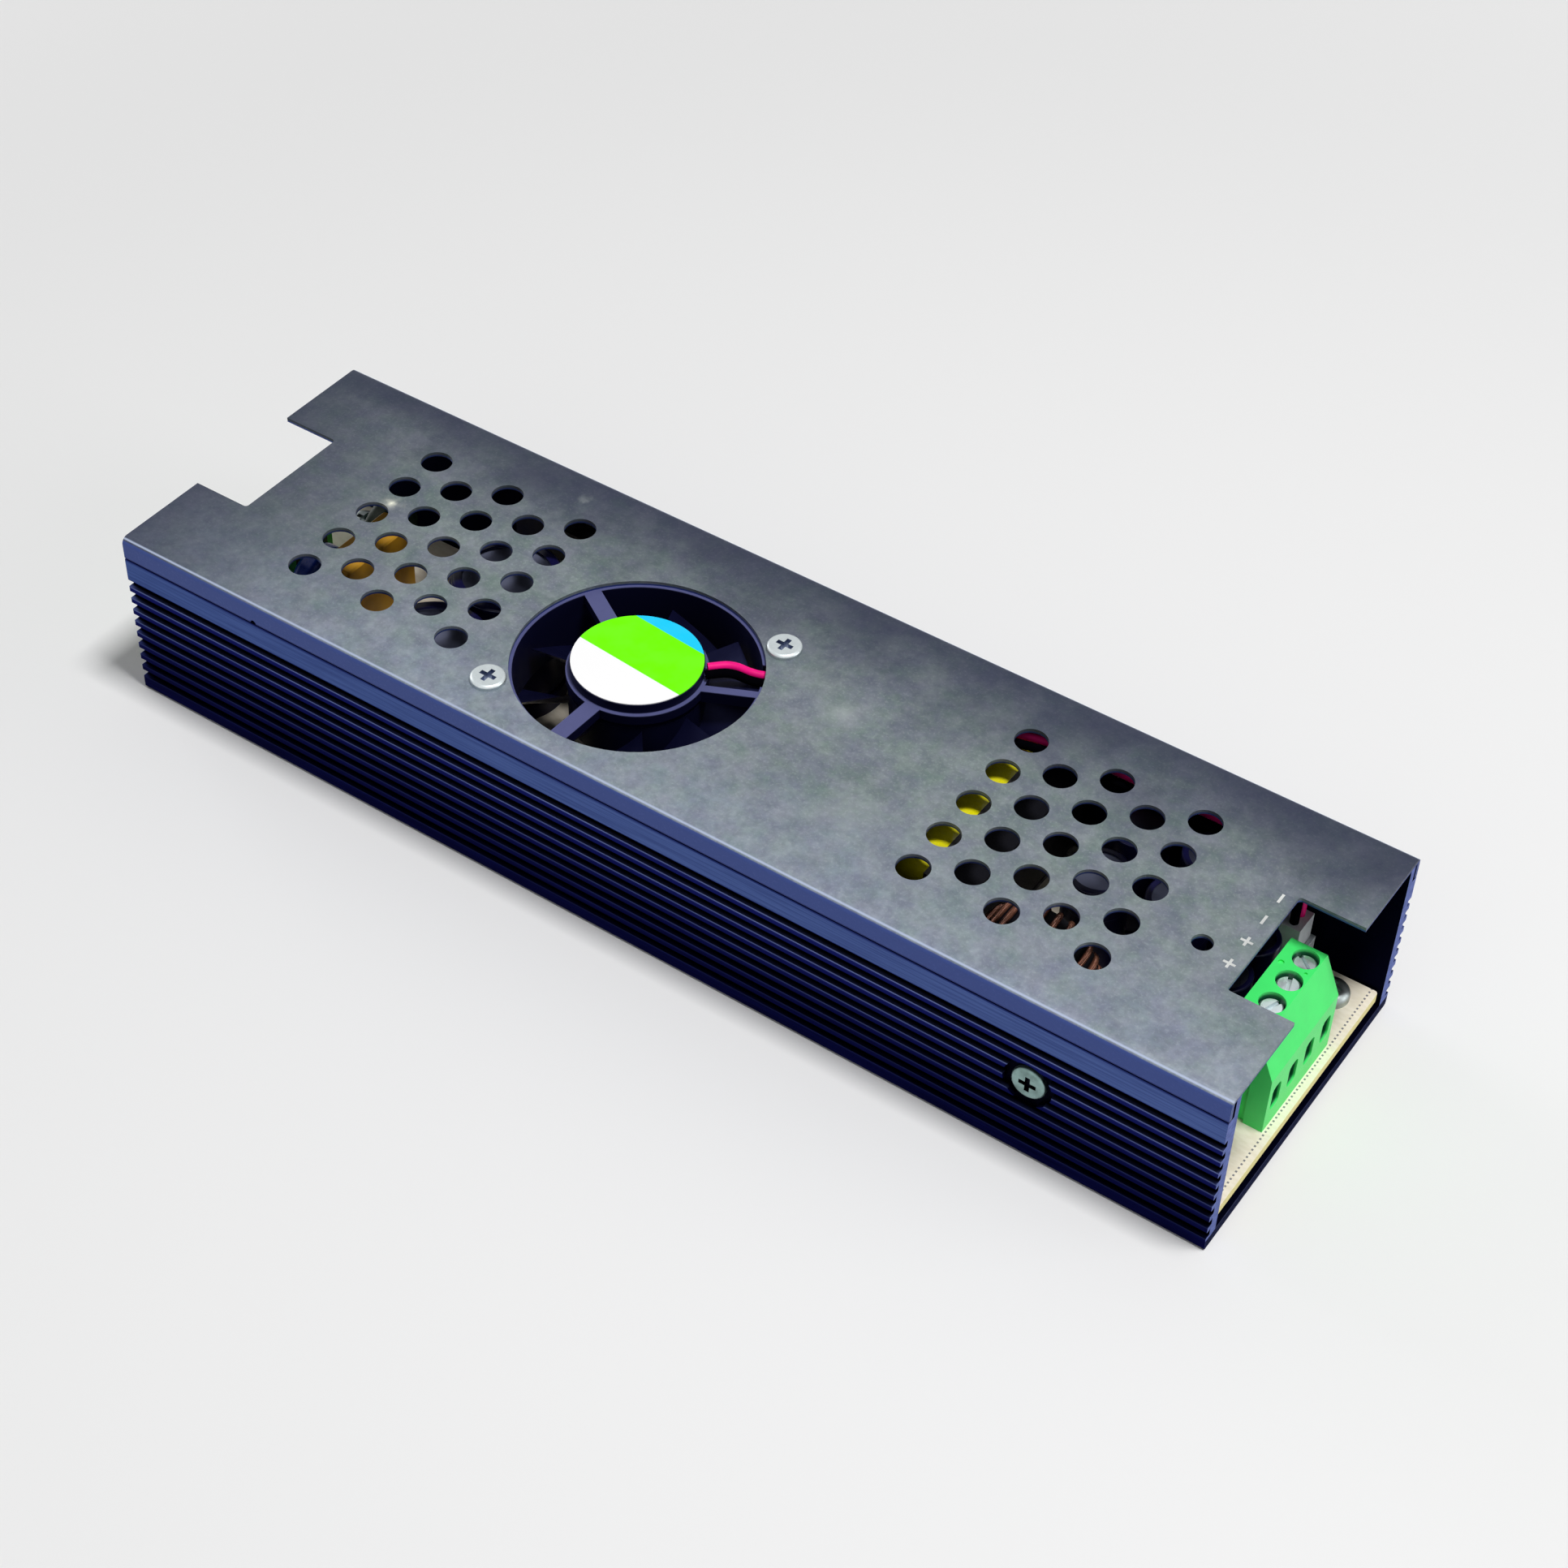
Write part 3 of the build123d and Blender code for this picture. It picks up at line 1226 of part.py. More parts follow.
with BuildPart() as fan_plug:
    with BuildSketch(Plane.XY.offset(plug_base)):
        with Locations((connector_x, connector_y)):
            Rectangle(cavity_width - 2 * fit_clearance, cavity_length - 2 * fit_clearance)
        with Locations(*header_pin_places):
            Rectangle(pin_width + 2 * fit_clearance, pin_width + 2 * fit_clearance, mode=Mode.SUBTRACT)
    extrude(amount=pin_reach + 2 * fit_clearance)
    with BuildSketch(Plane.XY.offset(plug_top)):
        with Locations((connector_x, connector_y)):
            Rectangle(cavity_width - 2 * fit_clearance, cavity_length - 2 * fit_clearance)
    extrude(amount=pin_reach + 2 * fit_clearance - plug_height)
fan_plug.part.label = "fan_plug"
export_step(fan_plug.part, "parts/fan_plug.step")


def fan_lead(side):
    """Lead from the hub over its strut and the transformer, then down into the plug."""
    start = fan_centre + lead_strut_direction * lead_start_radius
    beside = lead_strut_side * (side * lead_spacing / 2)
    notch_z = fan_top - lead_notch_depth
    bow_radius, bow_shift = lead_bow
    bow = lead_strut_direction * bow_radius + lead_strut_side * bow_shift
    points = [
        start + beside + Vector(0, 0, fan_top + lead_start_rise),
        fan_centre + bow + beside + Vector(0, 0, fan_top + lead_start_rise),
    ]
    for radius in lead_notch_radii:
        passing = lead_strut_direction * radius + lead_strut_side * lead_notch_shift
        points.append(fan_centre + passing + beside + Vector(0, 0, notch_z))
    for x, y, depth in lead_route:
        points.append(Vector(x, y + side * pin_pitch / 2, cover_under - depth))
    plug_y = connector_y + side * pin_pitch / 2
    points.append(Vector(connector_x, plug_y, cover_under - lead_turn_depth))
    points.append(Vector(connector_x, plug_y, plug_top))
    runs = [b - a for a, b in zip(points, points[1:])]
    radii = [
        lead_bend * min(a.length, b.length) / tan(radians(a.get_angle(b)) / 2)
        for a, b in zip(runs, runs[1:])
    ]
    print("lead bend radii:", [round(radius, 1) for radius in radii])
    with BuildPart() as lead:
        with BuildLine() as route:
            FilletPolyline(*points, radius=radii)
        with BuildSketch(Plane(origin=route.line @ 0, z_dir=route.line % 0)):
            Circle(lead_diameter / 2)
        sweep()
    return lead.part


# Fan leads
with BuildPart() as fan_lead_red:
    add(fan_lead(1))
fan_lead_red.part.label = "fan_lead_red"
export_step(fan_lead_red.part, "parts/fan_lead_red.step")

with BuildPart() as fan_lead_black:
    add(fan_lead(-1))
fan_lead_black.part.label = "fan_lead_black"
export_step(fan_lead_black.part, "parts/fan_lead_black.step")
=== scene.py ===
"""Looks of a fan-cooled power supply in a ribbed channel case, laid out as an add-on."""

import math

import bpy
import numpy as np
from mathutils import Matrix, Vector


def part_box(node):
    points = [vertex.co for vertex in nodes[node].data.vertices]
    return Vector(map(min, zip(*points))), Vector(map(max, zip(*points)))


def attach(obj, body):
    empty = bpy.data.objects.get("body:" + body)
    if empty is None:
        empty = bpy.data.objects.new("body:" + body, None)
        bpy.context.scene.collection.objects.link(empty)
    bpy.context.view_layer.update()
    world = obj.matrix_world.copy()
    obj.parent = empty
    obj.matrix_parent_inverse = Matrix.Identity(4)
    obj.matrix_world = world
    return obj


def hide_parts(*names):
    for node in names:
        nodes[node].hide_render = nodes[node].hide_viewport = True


bl_info = {
    "name": "Ribbed case power supply",
    "version": (1, 0, 0),
    "blender": (4, 5, 0),
    "location": "View3D > Sidebar > Supply",
    "description": "Finishes the case, fan, terminals and board parts of a power supply",
    "category": "Object",
}

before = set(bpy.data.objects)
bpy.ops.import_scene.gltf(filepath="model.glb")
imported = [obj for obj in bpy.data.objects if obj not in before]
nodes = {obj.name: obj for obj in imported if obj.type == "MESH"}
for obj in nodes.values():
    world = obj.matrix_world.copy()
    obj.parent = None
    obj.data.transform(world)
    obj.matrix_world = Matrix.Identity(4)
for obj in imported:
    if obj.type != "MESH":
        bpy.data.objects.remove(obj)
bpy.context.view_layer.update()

MM = 0.001
CASE_BODY = "case"

_, case_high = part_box("base_channel")
cover_low, cover_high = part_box("top_cover")
_, board_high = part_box("circuit_board")
label_low, label_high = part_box("fan_label")
choke_low, choke_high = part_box("output_choke_core")
line_choke_low, line_choke_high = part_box("line_choke_core")
label_centre = (label_low + label_high) / 2

# Sizes of the solids in millimetres, for patterns that follow them
HEAD_DIAMETER = 5.6
BRIDGE_SCREW_X = -16.0
SEAM_GAP, BAND_HEIGHT, GROOVE_WIDTH, RIB_PITCH = 0.25, 4.5, 1.35, 2.38
POLE_PITCH, POLE_COUNT, WELL_SETBACK, WELL_DIAMETER = 5.08, 4, 5.0, 4.0
ENTRY_WIDTH, BLOCK_FRONT_HEIGHT, CONTACT_HALF_WIDTH = 2.6, 10.8, 1.1
HUB_RISE = 1.6
TAB_FROM, LEG_TOP = 23.9, 6.9
CAN_DIAMETERS = {"bulk_capacitors": 18.0, "output_capacitors": 10.0, "small_capacitors": 8.0}

# Heights of the two lines of the label above its middle, and how far they fall per millimetre
LABEL_LINES = (-1.9, 7.5)
LABEL_SLOPE = 0.09

# Printed foot line of the blocks: its span from the middle of the board and half its dash pitch
FOOT_LINE = (97.25, 97.55)
FOOT_DASH = 0.4

# Polarity signs: place along the cover, length of a bar, its width and how thick the print is
SIGN_X, SIGN_LENGTH, SIGN_WIDTH, SIGN_RISE = 86.6, 1.9, 0.42, 0.02

# Bore of each ring core over its outer diameter
RING_BORE = {
    "output_choke_turns": 5.2 / 9.2,
    "line_turns_near": 4.0 / 7.0,
    "line_turns_far": 4.0 / 7.0,
}

# Ring angles in degrees that the windings span: the output choke's, and half a line winding's
CHOKE_SPAN = (-65, 245)
LINE_HALF_SPAN = 62

# Distances in metres between which the floor goes over into the white surroundings
FLOOR_FADE = (0.2, 0.6)

# Lighter spots of the cover: centre, radius, strength and whether it is worn with a painted glare
COVER_SPOTS = (
    ((-70.6, 3.6), 4.2, 0.7, True),
    ((-70.7, 3.5), 2.0, 1.0, True),
    ((16.0, 4.0), 14.0, 0.5, False),
    ((28.0, -12.0), 12.0, 0.35, False),
    ((-46.5, 22.7), 3.0, 0.4, False),
)


def linear(red, green, blue):
    """Linear colour of an 8-bit display colour: the power curve of the standard display."""
    scaled = [value / 255 for value in (red, green, blue)]
    return tuple(s / 12.92 if s <= 0.04045 else ((s + 0.055) / 1.055) ** 2.4 for s in scaled)


def colour_setting(name, description, default):
    """Colour that a user may change."""
    return bpy.props.FloatVectorProperty(
        name=name, description=description, default=default, subtype="COLOR", size=3, min=0, max=1
    )


def length_setting(name, description, default):
    """Length in metres that a user may change."""
    return bpy.props.FloatProperty(
        name=name, description=description, default=default, unit="LENGTH", precision=5, min=0
    )


def factor_setting(name, description, default):
    """Share from 0 to 1 that a user may change."""
    return bpy.props.FloatProperty(
        name=name, description=description, default=default, subtype="FACTOR", min=0, max=1
    )


class SupplyCaseSettings(bpy.types.PropertyGroup):
    wall: colour_setting("Wall", "Anodised face of the side walls", linear(80, 99, 152))
    # Painted shade: the cover's lips in slate blue in place of the sheet's grey
    lip_shade: colour_setting("Fold", "Bent lips of the cover", linear(64, 80, 138))
    # Painted highlight along the line where the cover turns down
    bend: colour_setting("Bend", "Bright line where the cover turns down", linear(184, 196, 222))
    # Rib tips darker than the wall's band, painted shade, and darker again towards the bottom; the
    # rib colour also darkens the drawn lines and the seam
    rib: colour_setting("Rib", "Tips of the upper ribs", linear(25, 30, 90))
    rib_low: colour_setting("Low rib", "Tips of the lowest ribs and the foot", linear(5, 6, 44))
    # Painted highlight along the upper edges of the ribs; also the tint of the wall's reflections
    rib_highlight: colour_setting("Rib edge", "Upper edges of the ribs", linear(128, 142, 190))
    # Painted shade: the floors of the grooves and the inner faces of the walls, also used on the
    # cover's underside
    groove_shade: colour_setting("Groove", "Floors of the grooves", linear(1, 1, 10))
    inside: colour_setting("Inside", "Inner faces of the walls", linear(3, 4, 22))
    cut_metal: colour_setting("Cut metal", "Sawn ends of the walls", linear(142, 152, 206))
    cover: colour_setting("Cover", "Middle of the sheet cover", linear(108, 121, 121))
    # Painted sheen: the cover lighter towards its near edge
    cover_near_sheen: colour_setting("Cover near", "Cover at its near edge", linear(138, 149, 163))
    # Painted shade: the cover darker at its far edge and at one end
    cover_far_shade: colour_setting("Cover far", "Cover at its far edge and ends", linear(36, 40, 64))
    speck: colour_setting("Specks", "Light specks in the cover's finish", linear(186, 192, 192))
    pit: colour_setting("Pits", "Dark patches in the cover's finish", linear(58, 64, 76))
    moss: colour_setting("Green tinge", "Greenish patches of the cover", linear(98, 124, 112))
    mauve: colour_setting("Purple tinge", "Purplish patches of the cover", linear(116, 112, 142))
    # Glare: painted glare on a worn spot beside the vents
    glare: colour_setting("Glare", "Worn bright spot beside the vents", linear(250, 250, 232))
    speck_scale: bpy.props.FloatProperty(
        name="Speck scale", description="Specks per millimetre", default=2.2, min=0.1
    )


class SupplyFanSettings(bpy.types.PropertyGroup):
    plastic: colour_setting("Plastic", "Frame and blades", linear(13, 14, 40))
    # Rim: painted highlight on the top corners of the struts and the bore; the same colour tints
    # the fan's reflections and its settled dust
    rim: colour_setting("Rim", "Worn corners of the struts and the bore", linear(112, 116, 168))
    label_near: colour_setting("Near band", "Near band of the label", linear(252, 252, 252))
    label_middle: colour_setting("Middle band", "Middle band of the label", linear(116, 255, 0))
    label_far: colour_setting("Far band", "Far band of the label", linear(30, 208, 255))
    red_lead: colour_setting("Red lead", "Insulation of the red lead", linear(255, 20, 136))
    black_lead: colour_setting("Black lead", "Insulation of the black lead", linear(4, 4, 8))


class SupplyBoardSettings(bpy.types.PropertyGroup):
    laminate: colour_setting("Laminate", "Top of the circuit board", linear(250, 240, 222))
    terminal: colour_setting("Terminal", "Terminal blocks", linear(72, 246, 118))
    # Painted shade in the wells and wire entries of the blocks
    well_shade: colour_setting("Well", "Wells and wire entries of the blocks", linear(4, 84, 50))
    sleeve: colour_setting("Sleeve", "Shrink sleeves of the cans", linear(18, 17, 60))
    tape: colour_setting("Tape", "Tape of the transformer", linear(250, 240, 16))
    copper: colour_setting("Copper", "Enamelled wire", linear(190, 128, 104))
    wire: length_setting("Choke wire", "Wire diameter of the output choke", 1.0 * MM)
    line_wire: length_setting("Line choke wire", "Wire diameter of the line choke", 0.7 * MM)
    turns: bpy.props.IntProperty(
        name="Turns", description="Turns of the output choke", default=24, min=3
    )
    line_turns: bpy.props.IntProperty(
        name="Line turns", description="Turns of each line winding", default=9, min=3
    )


class SupplyStageSettings(bpy.types.PropertyGroup):
    floor: colour_setting("Floor", "Pale floor", (0.86, 0.86, 0.86))
    floor_half: length_setting("Floor reach", "Half width of the floor", 4.0)
    softbox: bpy.props.FloatProperty(
        name="Softbox", description="Power of the large lamp", default=7.4, unit="POWER"
    )
    fill: bpy.props.FloatProperty(
        name="Fill", description="Power of the front lamp", default=0.9, unit="POWER"
    )
    end_fill: bpy.props.FloatProperty(
        name="End fill", description="Power of each lamp at the ends", default=1.4, unit="POWER"
    )
    sky: factor_setting("Sky", "Strength of the surroundings", 0.15)


def add_node(tree, kind, inputs=None, **settings):
    """A shader node with its settings; an input is a socket to link or a value to set."""
    made = tree.nodes.new(kind)
    for key, value in settings.items():
        setattr(made, key, value)
    for key, value in (inputs or {}).items():
        if isinstance(value, bpy.types.NodeSocket):
            tree.links.new(value, made.inputs[key])
        else:
            made.inputs[key].default_value = value
    return made


def new_group(name, inputs, outputs):
    """An empty node group with named sockets, its input node and its output node."""
    group = bpy.data.node_groups.new(name, "ShaderNodeTree")
    for label, kind, default in inputs:
        socket = group.interface.new_socket(label, in_out="INPUT", socket_type=kind)
        if default is not None:
            socket.default_value = default
    for label, kind in outputs:
        group.interface.new_socket(label, in_out="OUTPUT", socket_type=kind)
    return group, group.nodes.new("NodeGroupInput"), group.nodes.new("NodeGroupOutput")


FLOAT, VECTOR = "NodeSocketFloat", "NodeSocketVector"


def ramp_between(tree, value, start, end, low=0.0, high=1.0, smooth=True):
    """Value that goes from low to high as another goes from start to end."""
    made = add_node(
        tree,
        "ShaderNodeMapRange",
        {"Value": value, "From Min": start, "From Max": end, "To Min": low, "To Max": high},
        interpolation_type="SMOOTHSTEP" if smooth else "LINEAR",
    )
    return made.outputs["Result"]


def arithmetic(tree, operation, first, second=None):
    """Result of one Math node."""
    inputs = {0: first}
    if second is not None:
        inputs[1] = second
    return add_node(tree, "ShaderNodeMath", inputs, operation=operation).outputs[0]


def build_groups():
    """The effects that several finishes share, each a group with its own inputs."""
    group, given, result = new_group("speck_field", [
        ("Vector", VECTOR, None), ("Scale", FLOAT, 2.0),
        ("Start", FLOAT, 0.6), ("End", FLOAT, 0.7),
    ], [("Mask", FLOAT)])
    noise = add_node(group, "ShaderNodeTexNoise", {
        "Vector": given.outputs["Vector"], "Scale": given.outputs["Scale"], "Detail": 1.0})
    mask = ramp_between(group, noise.outputs["Fac"], given.outputs["Start"], given.outputs["End"])
    group.links.new(mask, result.inputs["Mask"])

    group, given, result = new_group("cloud_field", [
        ("Vector", VECTOR, None), ("Scale", FLOAT, 0.1),
        ("Low", FLOAT, 0.0), ("High", FLOAT, 1.0),
    ], [("Value", FLOAT)])
    noise = add_node(group, "ShaderNodeTexNoise", {
        "Vector": given.outputs["Vector"], "Scale": given.outputs["Scale"],
        "Detail": 4.0, "Roughness": 0.6})
    value = ramp_between(
        group, noise.outputs["Fac"], 0.3, 0.7, given.outputs["Low"], given.outputs["High"])
    group.links.new(value, result.inputs["Value"])

    group, given, result = new_group("worn_spot", [
        ("Vector", VECTOR, None), ("Centre", VECTOR, None), ("Radius", FLOAT, 3.0),
        ("Ragged", FLOAT, 1.0),
    ], [("Mask", FLOAT)])
    away = add_node(group, "ShaderNodeVectorMath", {
        0: given.outputs["Vector"], 1: given.outputs["Centre"]}, operation="DISTANCE")
    noise = add_node(group, "ShaderNodeTexNoise", {
        "Vector": given.outputs["Vector"], "Detail": 4.0,
        "Scale": arithmetic(group, "DIVIDE", 2.4, given.outputs["Radius"])})
    ragged = arithmetic(group, "MULTIPLY", noise.outputs["Fac"], given.outputs["Ragged"])
    reach = arithmetic(group, "ADD", away.outputs["Value"], ragged)
    mask = ramp_between(group, reach, given.outputs["Radius"], 0.0)
    group.links.new(mask, result.inputs["Mask"])

    group, given, result = new_group("drawn_lines", [
        ("Vector", VECTOR, None), ("Stretch", VECTOR, (0.02, 1.0, 1.0)), ("Scale", FLOAT, 6.0),
    ], [("Height", FLOAT)])
    stretched = add_node(group, "ShaderNodeVectorMath", {
        0: given.outputs["Vector"], 1: given.outputs["Stretch"]}, operation="MULTIPLY")
    noise = add_node(group, "ShaderNodeTexNoise", {
        "Vector": stretched.outputs["Vector"], "Scale": given.outputs["Scale"], "Detail": 3.0})
    group.links.new(noise.outputs["Fac"], result.inputs["Height"])

    group, given, result = new_group("moulded_grain", [
        ("Vector", VECTOR, None), ("Scale", FLOAT, 5.0),
    ], [("Height", FLOAT), ("Tint", FLOAT)])
    fine = add_node(group, "ShaderNodeTexNoise", {
        "Vector": given.outputs["Vector"], "Scale": given.outputs["Scale"], "Detail": 4.0})
    broad = add_node(group, "ShaderNodeTexNoise", {
        "Vector": given.outputs["Vector"], "Scale": 0.25, "Detail": 2.0})
    group.links.new(fine.outputs["Fac"], result.inputs["Height"])
    group.links.new(ramp_between(group, broad.outputs["Fac"], 0.3, 0.7), result.inputs["Tint"])

    group, given, result = new_group("settled_dust", [
        ("Vector", VECTOR, None), ("Amount", FLOAT, 0.2),
    ], [("Mask", FLOAT)])
    facing = add_node(group, "ShaderNodeSeparateXYZ", {
        0: add_node(group, "ShaderNodeNewGeometry").outputs["Normal"]})
    upward = ramp_between(group, facing.outputs["Z"], 0.5, 1.0)
    noise = add_node(group, "ShaderNodeTexNoise", {
        "Vector": given.outputs["Vector"], "Scale": 0.7, "Detail": 5.0})
    patches = arithmetic(
        group, "MULTIPLY", upward, ramp_between(group, noise.outputs["Fac"], 0.35, 0.75))
    mask = arithmetic(group, "MULTIPLY", patches, given.outputs["Amount"])
    group.links.new(mask, result.inputs["Mask"])


class Finish:
    """A material under construction: coordinates in millimetres, a colour chain and a shader."""

    def __init__(self, name, roughness=0.5, metallic=0.0, specular=0.5):
        self.material = bpy.data.materials.new(name)
        self.material.use_nodes = True
        self.tree = self.material.node_tree
        self.tree.nodes.clear()
        place = add_node(self.tree, "ShaderNodeTexCoord").outputs["Object"]
        scaled = add_node(
            self.tree, "ShaderNodeVectorMath", {0: place, "Scale": 1 / MM}, operation="SCALE")
        self.vector = scaled.outputs["Vector"]
        parts = add_node(self.tree, "ShaderNodeSeparateXYZ", {0: self.vector})
        self.x, self.y, self.z = (parts.outputs[axis] for axis in "XYZ")
        self.shader = add_node(self.tree, "ShaderNodeBsdfPrincipled", {
            "Roughness": roughness, "Metallic": metallic, "Specular IOR Level": specular})
        add_node(self.tree, "ShaderNodeOutputMaterial", {"Surface": self.shader.outputs["BSDF"]})

    def group(self, name, inputs):
        """A shared effect placed in this material with its own values."""
        return add_node(self.tree, "ShaderNodeGroup", {"Vector": self.vector, **inputs},
                        node_tree=bpy.data.node_groups[name])

    def tint(self, colour):
        """One colour of the shader's reflections."""
        self.shader.inputs["Specular Tint"].default_value = (*colour, 1.0)

    def ramp(self, value, start, end, low=0.0, high=1.0):
        return ramp_between(self.tree, value, start, end, low, high)

    def math(self, operation, first, second=None):
        return arithmetic(self.tree, operation, first, second)

    def mix(self, mask, first, second):
        """Colour between two colours or sockets by a mask."""
        made = add_node(self.tree, "ShaderNodeMix", data_type="RGBA")
        for index, value in ((0, mask), (6, first), (7, second)):
            if isinstance(value, bpy.types.NodeSocket):
                self.tree.links.new(value, made.inputs[index])
            elif index:
                made.inputs[index].default_value = (*value, 1.0)
            else:
                made.inputs[index].default_value = value
        return made.outputs[2]

    def between(self, value, low, high, soft=0.05):
        """Mask that is 1 where a coordinate lies between two limits."""
        rise = self.ramp(value, low - soft, low + soft)
        fall = self.ramp(value, high - soft, high + soft, 1.0, 0.0)
        return self.math("MULTIPLY", rise, fall)

    def colour(self, socket):
        """Feed the base colour, and keep it for a later mix."""
        self.skin = socket
        self.tree.links.new(socket, self.shader.inputs["Base Color"])

    def roughness(self, socket):
        self.tree.links.new(socket, self.shader.inputs["Roughness"])

    def metallic(self, socket):
        self.tree.links.new(socket, self.shader.inputs["Metallic"])

    def bump(self, height, distance, strength=1.0):
        made = add_node(self.tree, "ShaderNodeBump", {
            "Height": height, "Distance": distance * MM, "Strength": strength})
        self.tree.links.new(made.outputs["Normal"], self.shader.inputs["Normal"])

    def dress(self, *names):
        """Give the finish to carried-over nodes or new pieces."""
        for name in names:
            piece = nodes.get(name) or bpy.data.objects[name]
            piece.data.materials.clear()
            piece.data.materials.append(self.material)


def wall_finish(settings):
    """Dark anodised extrusion: drawn lines, sawn ends, painted highlights on the upper edges of
    the ribs, and painted shade on the ribs, in the grooves, on the inner faces and under the
    cover's lips.
    """
    made = Finish("anodised_wall", roughness=0.42, metallic=0.85, specular=0.1)
    made.tint(settings.rib_highlight)
    half_width = case_high.y / MM
    half_length = case_high.x / MM
    seam = cover_low.z / MM
    outward = made.math("ABSOLUTE", made.y)
    along = made.math("ABSOLUTE", made.x)
    tip = made.ramp(outward, half_width - 0.85, half_width - 0.1)
    band = made.ramp(made.z, seam - BAND_HEIGHT, seam - BAND_HEIGHT + 0.2)
    drop = made.math("MODULO", made.math("SUBTRACT", seam - BAND_HEIGHT, made.z), RIB_PITCH)
    # Painted highlight along the upper edge of each rib, fading towards the bottom
    edge = made.math("MULTIPLY", made.between(drop, GROOVE_WIDTH, GROOVE_WIDTH + 0.24, 0.1),
                     made.ramp(made.z, 4.0, seam - BAND_HEIGHT, 0.06, 0.7))
    # Rib tips in painted shade, darker than the band and darker towards the bottom
    rib = made.mix(made.ramp(made.z, 4.0, seam - BAND_HEIGHT), settings.rib_low, settings.rib)
    rib = made.mix(edge, rib, settings.rib_highlight)
    face = made.mix(band, rib, settings.wall)
    streak = made.group("drawn_lines", {"Scale": 3.0}).outputs["Height"]
    face = made.mix(made.ramp(streak, 0.35, 0.65, 0.0, 0.3), face, settings.rib)
    # Painted shade on the top of the wall, under the cover's lips at the seam
    brink = seam - SEAM_GAP
    face = made.mix(made.ramp(made.z, brink - 0.4, brink - 0.15, 0.0, 0.85), face, settings.rib)
    # Painted shade: grooves and inner faces darkened in place of the anodised colour
    inner = made.ramp(outward, half_width - 2.4, half_width - 2.2)
    painted_shade = made.mix(inner, settings.inside, settings.groove_shade)
    skin = made.mix(tip, painted_shade, face)
    sawn = made.math("MULTIPLY", made.ramp(along, half_length - 0.03, half_length - 0.01),
                     made.ramp(made.z, 1.95, 2.05))
    saw_marks = made.group("drawn_lines", {"Stretch": (1.0, 0.15, 1.0), "Scale": 4.0})
    cut = made.mix(made.ramp(saw_marks.outputs["Height"], 0.3, 0.7), settings.cut_metal,
                   tuple(0.6 * value for value in settings.cut_metal))
    made.colour(made.mix(sawn, skin, cut))
    made.roughness(made.ramp(streak, 0.3, 0.7, 0.36, 0.5))
    made.bump(streak, 0.02, 0.5)
    made.dress("base_channel")


def cover_finish(settings):
    """Softly mottled sheet with a painted sheen towards its near edge, painted shade at its far
    edge, one end, its lips and underside, a painted highlight where it turns down, and lighter
    spots, some worn with a painted glare.
    """
    made = Finish("cover_sheet", roughness=0.5, specular=0.12)
    half_width = cover_high.y / MM
    half_length = cover_high.x / MM
    top = cover_high.z / MM
    outward = made.math("ABSOLUTE", made.y)
    cloud = made.group("cloud_field", {"Scale": 0.07, "Low": -3.0, "High": 3.0}).outputs["Value"]
    across = made.math("ADD", made.y, cloud)
    # Painted sheen towards the near edge, painted shade at the far edge and the low end, wavering
    # with the cloud
    near = made.ramp(across, -4.0, -half_width)
    far = made.math("MAXIMUM", made.ramp(across, 2.0, half_width),
                    made.ramp(made.x, 50.0 - half_length, -10.0 - half_length))
    sheet = made.mix(near, settings.cover, settings.cover_near_sheen)
    for scale, reach, tinge in (
        (0.16, 0.45, settings.moss), (0.27, 0.45, settings.mauve),
        (0.21, 0.22, settings.speck), (0.9, 0.24, settings.pit),
    ):
        patch = made.group("cloud_field", {"Scale": scale, "High": reach}).outputs["Value"]
        sheet = made.mix(patch, sheet, tinge)
    speck = made.group("speck_field", {
        "Scale": settings.speck_scale, "Start": 0.52, "End": 0.74}).outputs["Mask"]
    sheet = made.mix(made.math("MULTIPLY", speck, 0.13), sheet, settings.speck)
    # Painted shade at the far edge and the low end
    sheet = made.mix(made.math("MULTIPLY", far, 0.85), sheet, settings.cover_far_shade)
    # Lighter spots; those that glare are worn spots with a painted glare
    for centre, radius, strength, bright in COVER_SPOTS:
        spot = made.group("worn_spot", {
            "Centre": (*centre, top), "Radius": radius, "Ragged": 0.9 * radius})
        sheet = made.mix(made.math("MULTIPLY", spot.outputs["Mask"], strength), sheet,
                         settings.glare if bright else settings.speck)
    # Painted shade on the lips, with deeper painted shade along their lower edge at the seam
    lip = made.ramp(made.z, top - 0.4, top - 0.6)
    lip_shade = made.mix(made.ramp(made.z, cover_low.z / MM + 0.3, cover_low.z / MM + 0.1, 0.0, 0.6),
                    settings.lip_shade, settings.rib)
    # Painted highlight where the sheet turns down to its lips
    bend = made.math("MULTIPLY", made.ramp(outward, half_width - 0.75, half_width - 0.5),
                     made.ramp(made.z, top - 0.4, top - 0.25))
    sheet = made.mix(made.math("MULTIPLY", bend, 0.9), sheet, settings.bend)
    sheet = made.mix(lip, sheet, lip_shade)
    # Painted shade on the faces that look down, in the colour of the walls' inner faces
    facing = add_node(made.tree, "ShaderNodeSeparateXYZ", {
        0: add_node(made.tree, "ShaderNodeNewGeometry").outputs["Normal"]})
    under = made.ramp(facing.outputs["Z"], -0.4, -0.8)
    made.colour(made.mix(under, sheet, settings.inside))
    made.roughness(made.ramp(speck, 0.0, 1.0, 0.52, 0.42))
    made.metallic(made.ramp(lip, 0.0, 1.0, 0.28, 0.8))
    grain = made.group("moulded_grain", {"Scale": 3.0}).outputs["Height"]
    made.bump(grain, 0.02, 0.4)
    made.dress("top_cover")


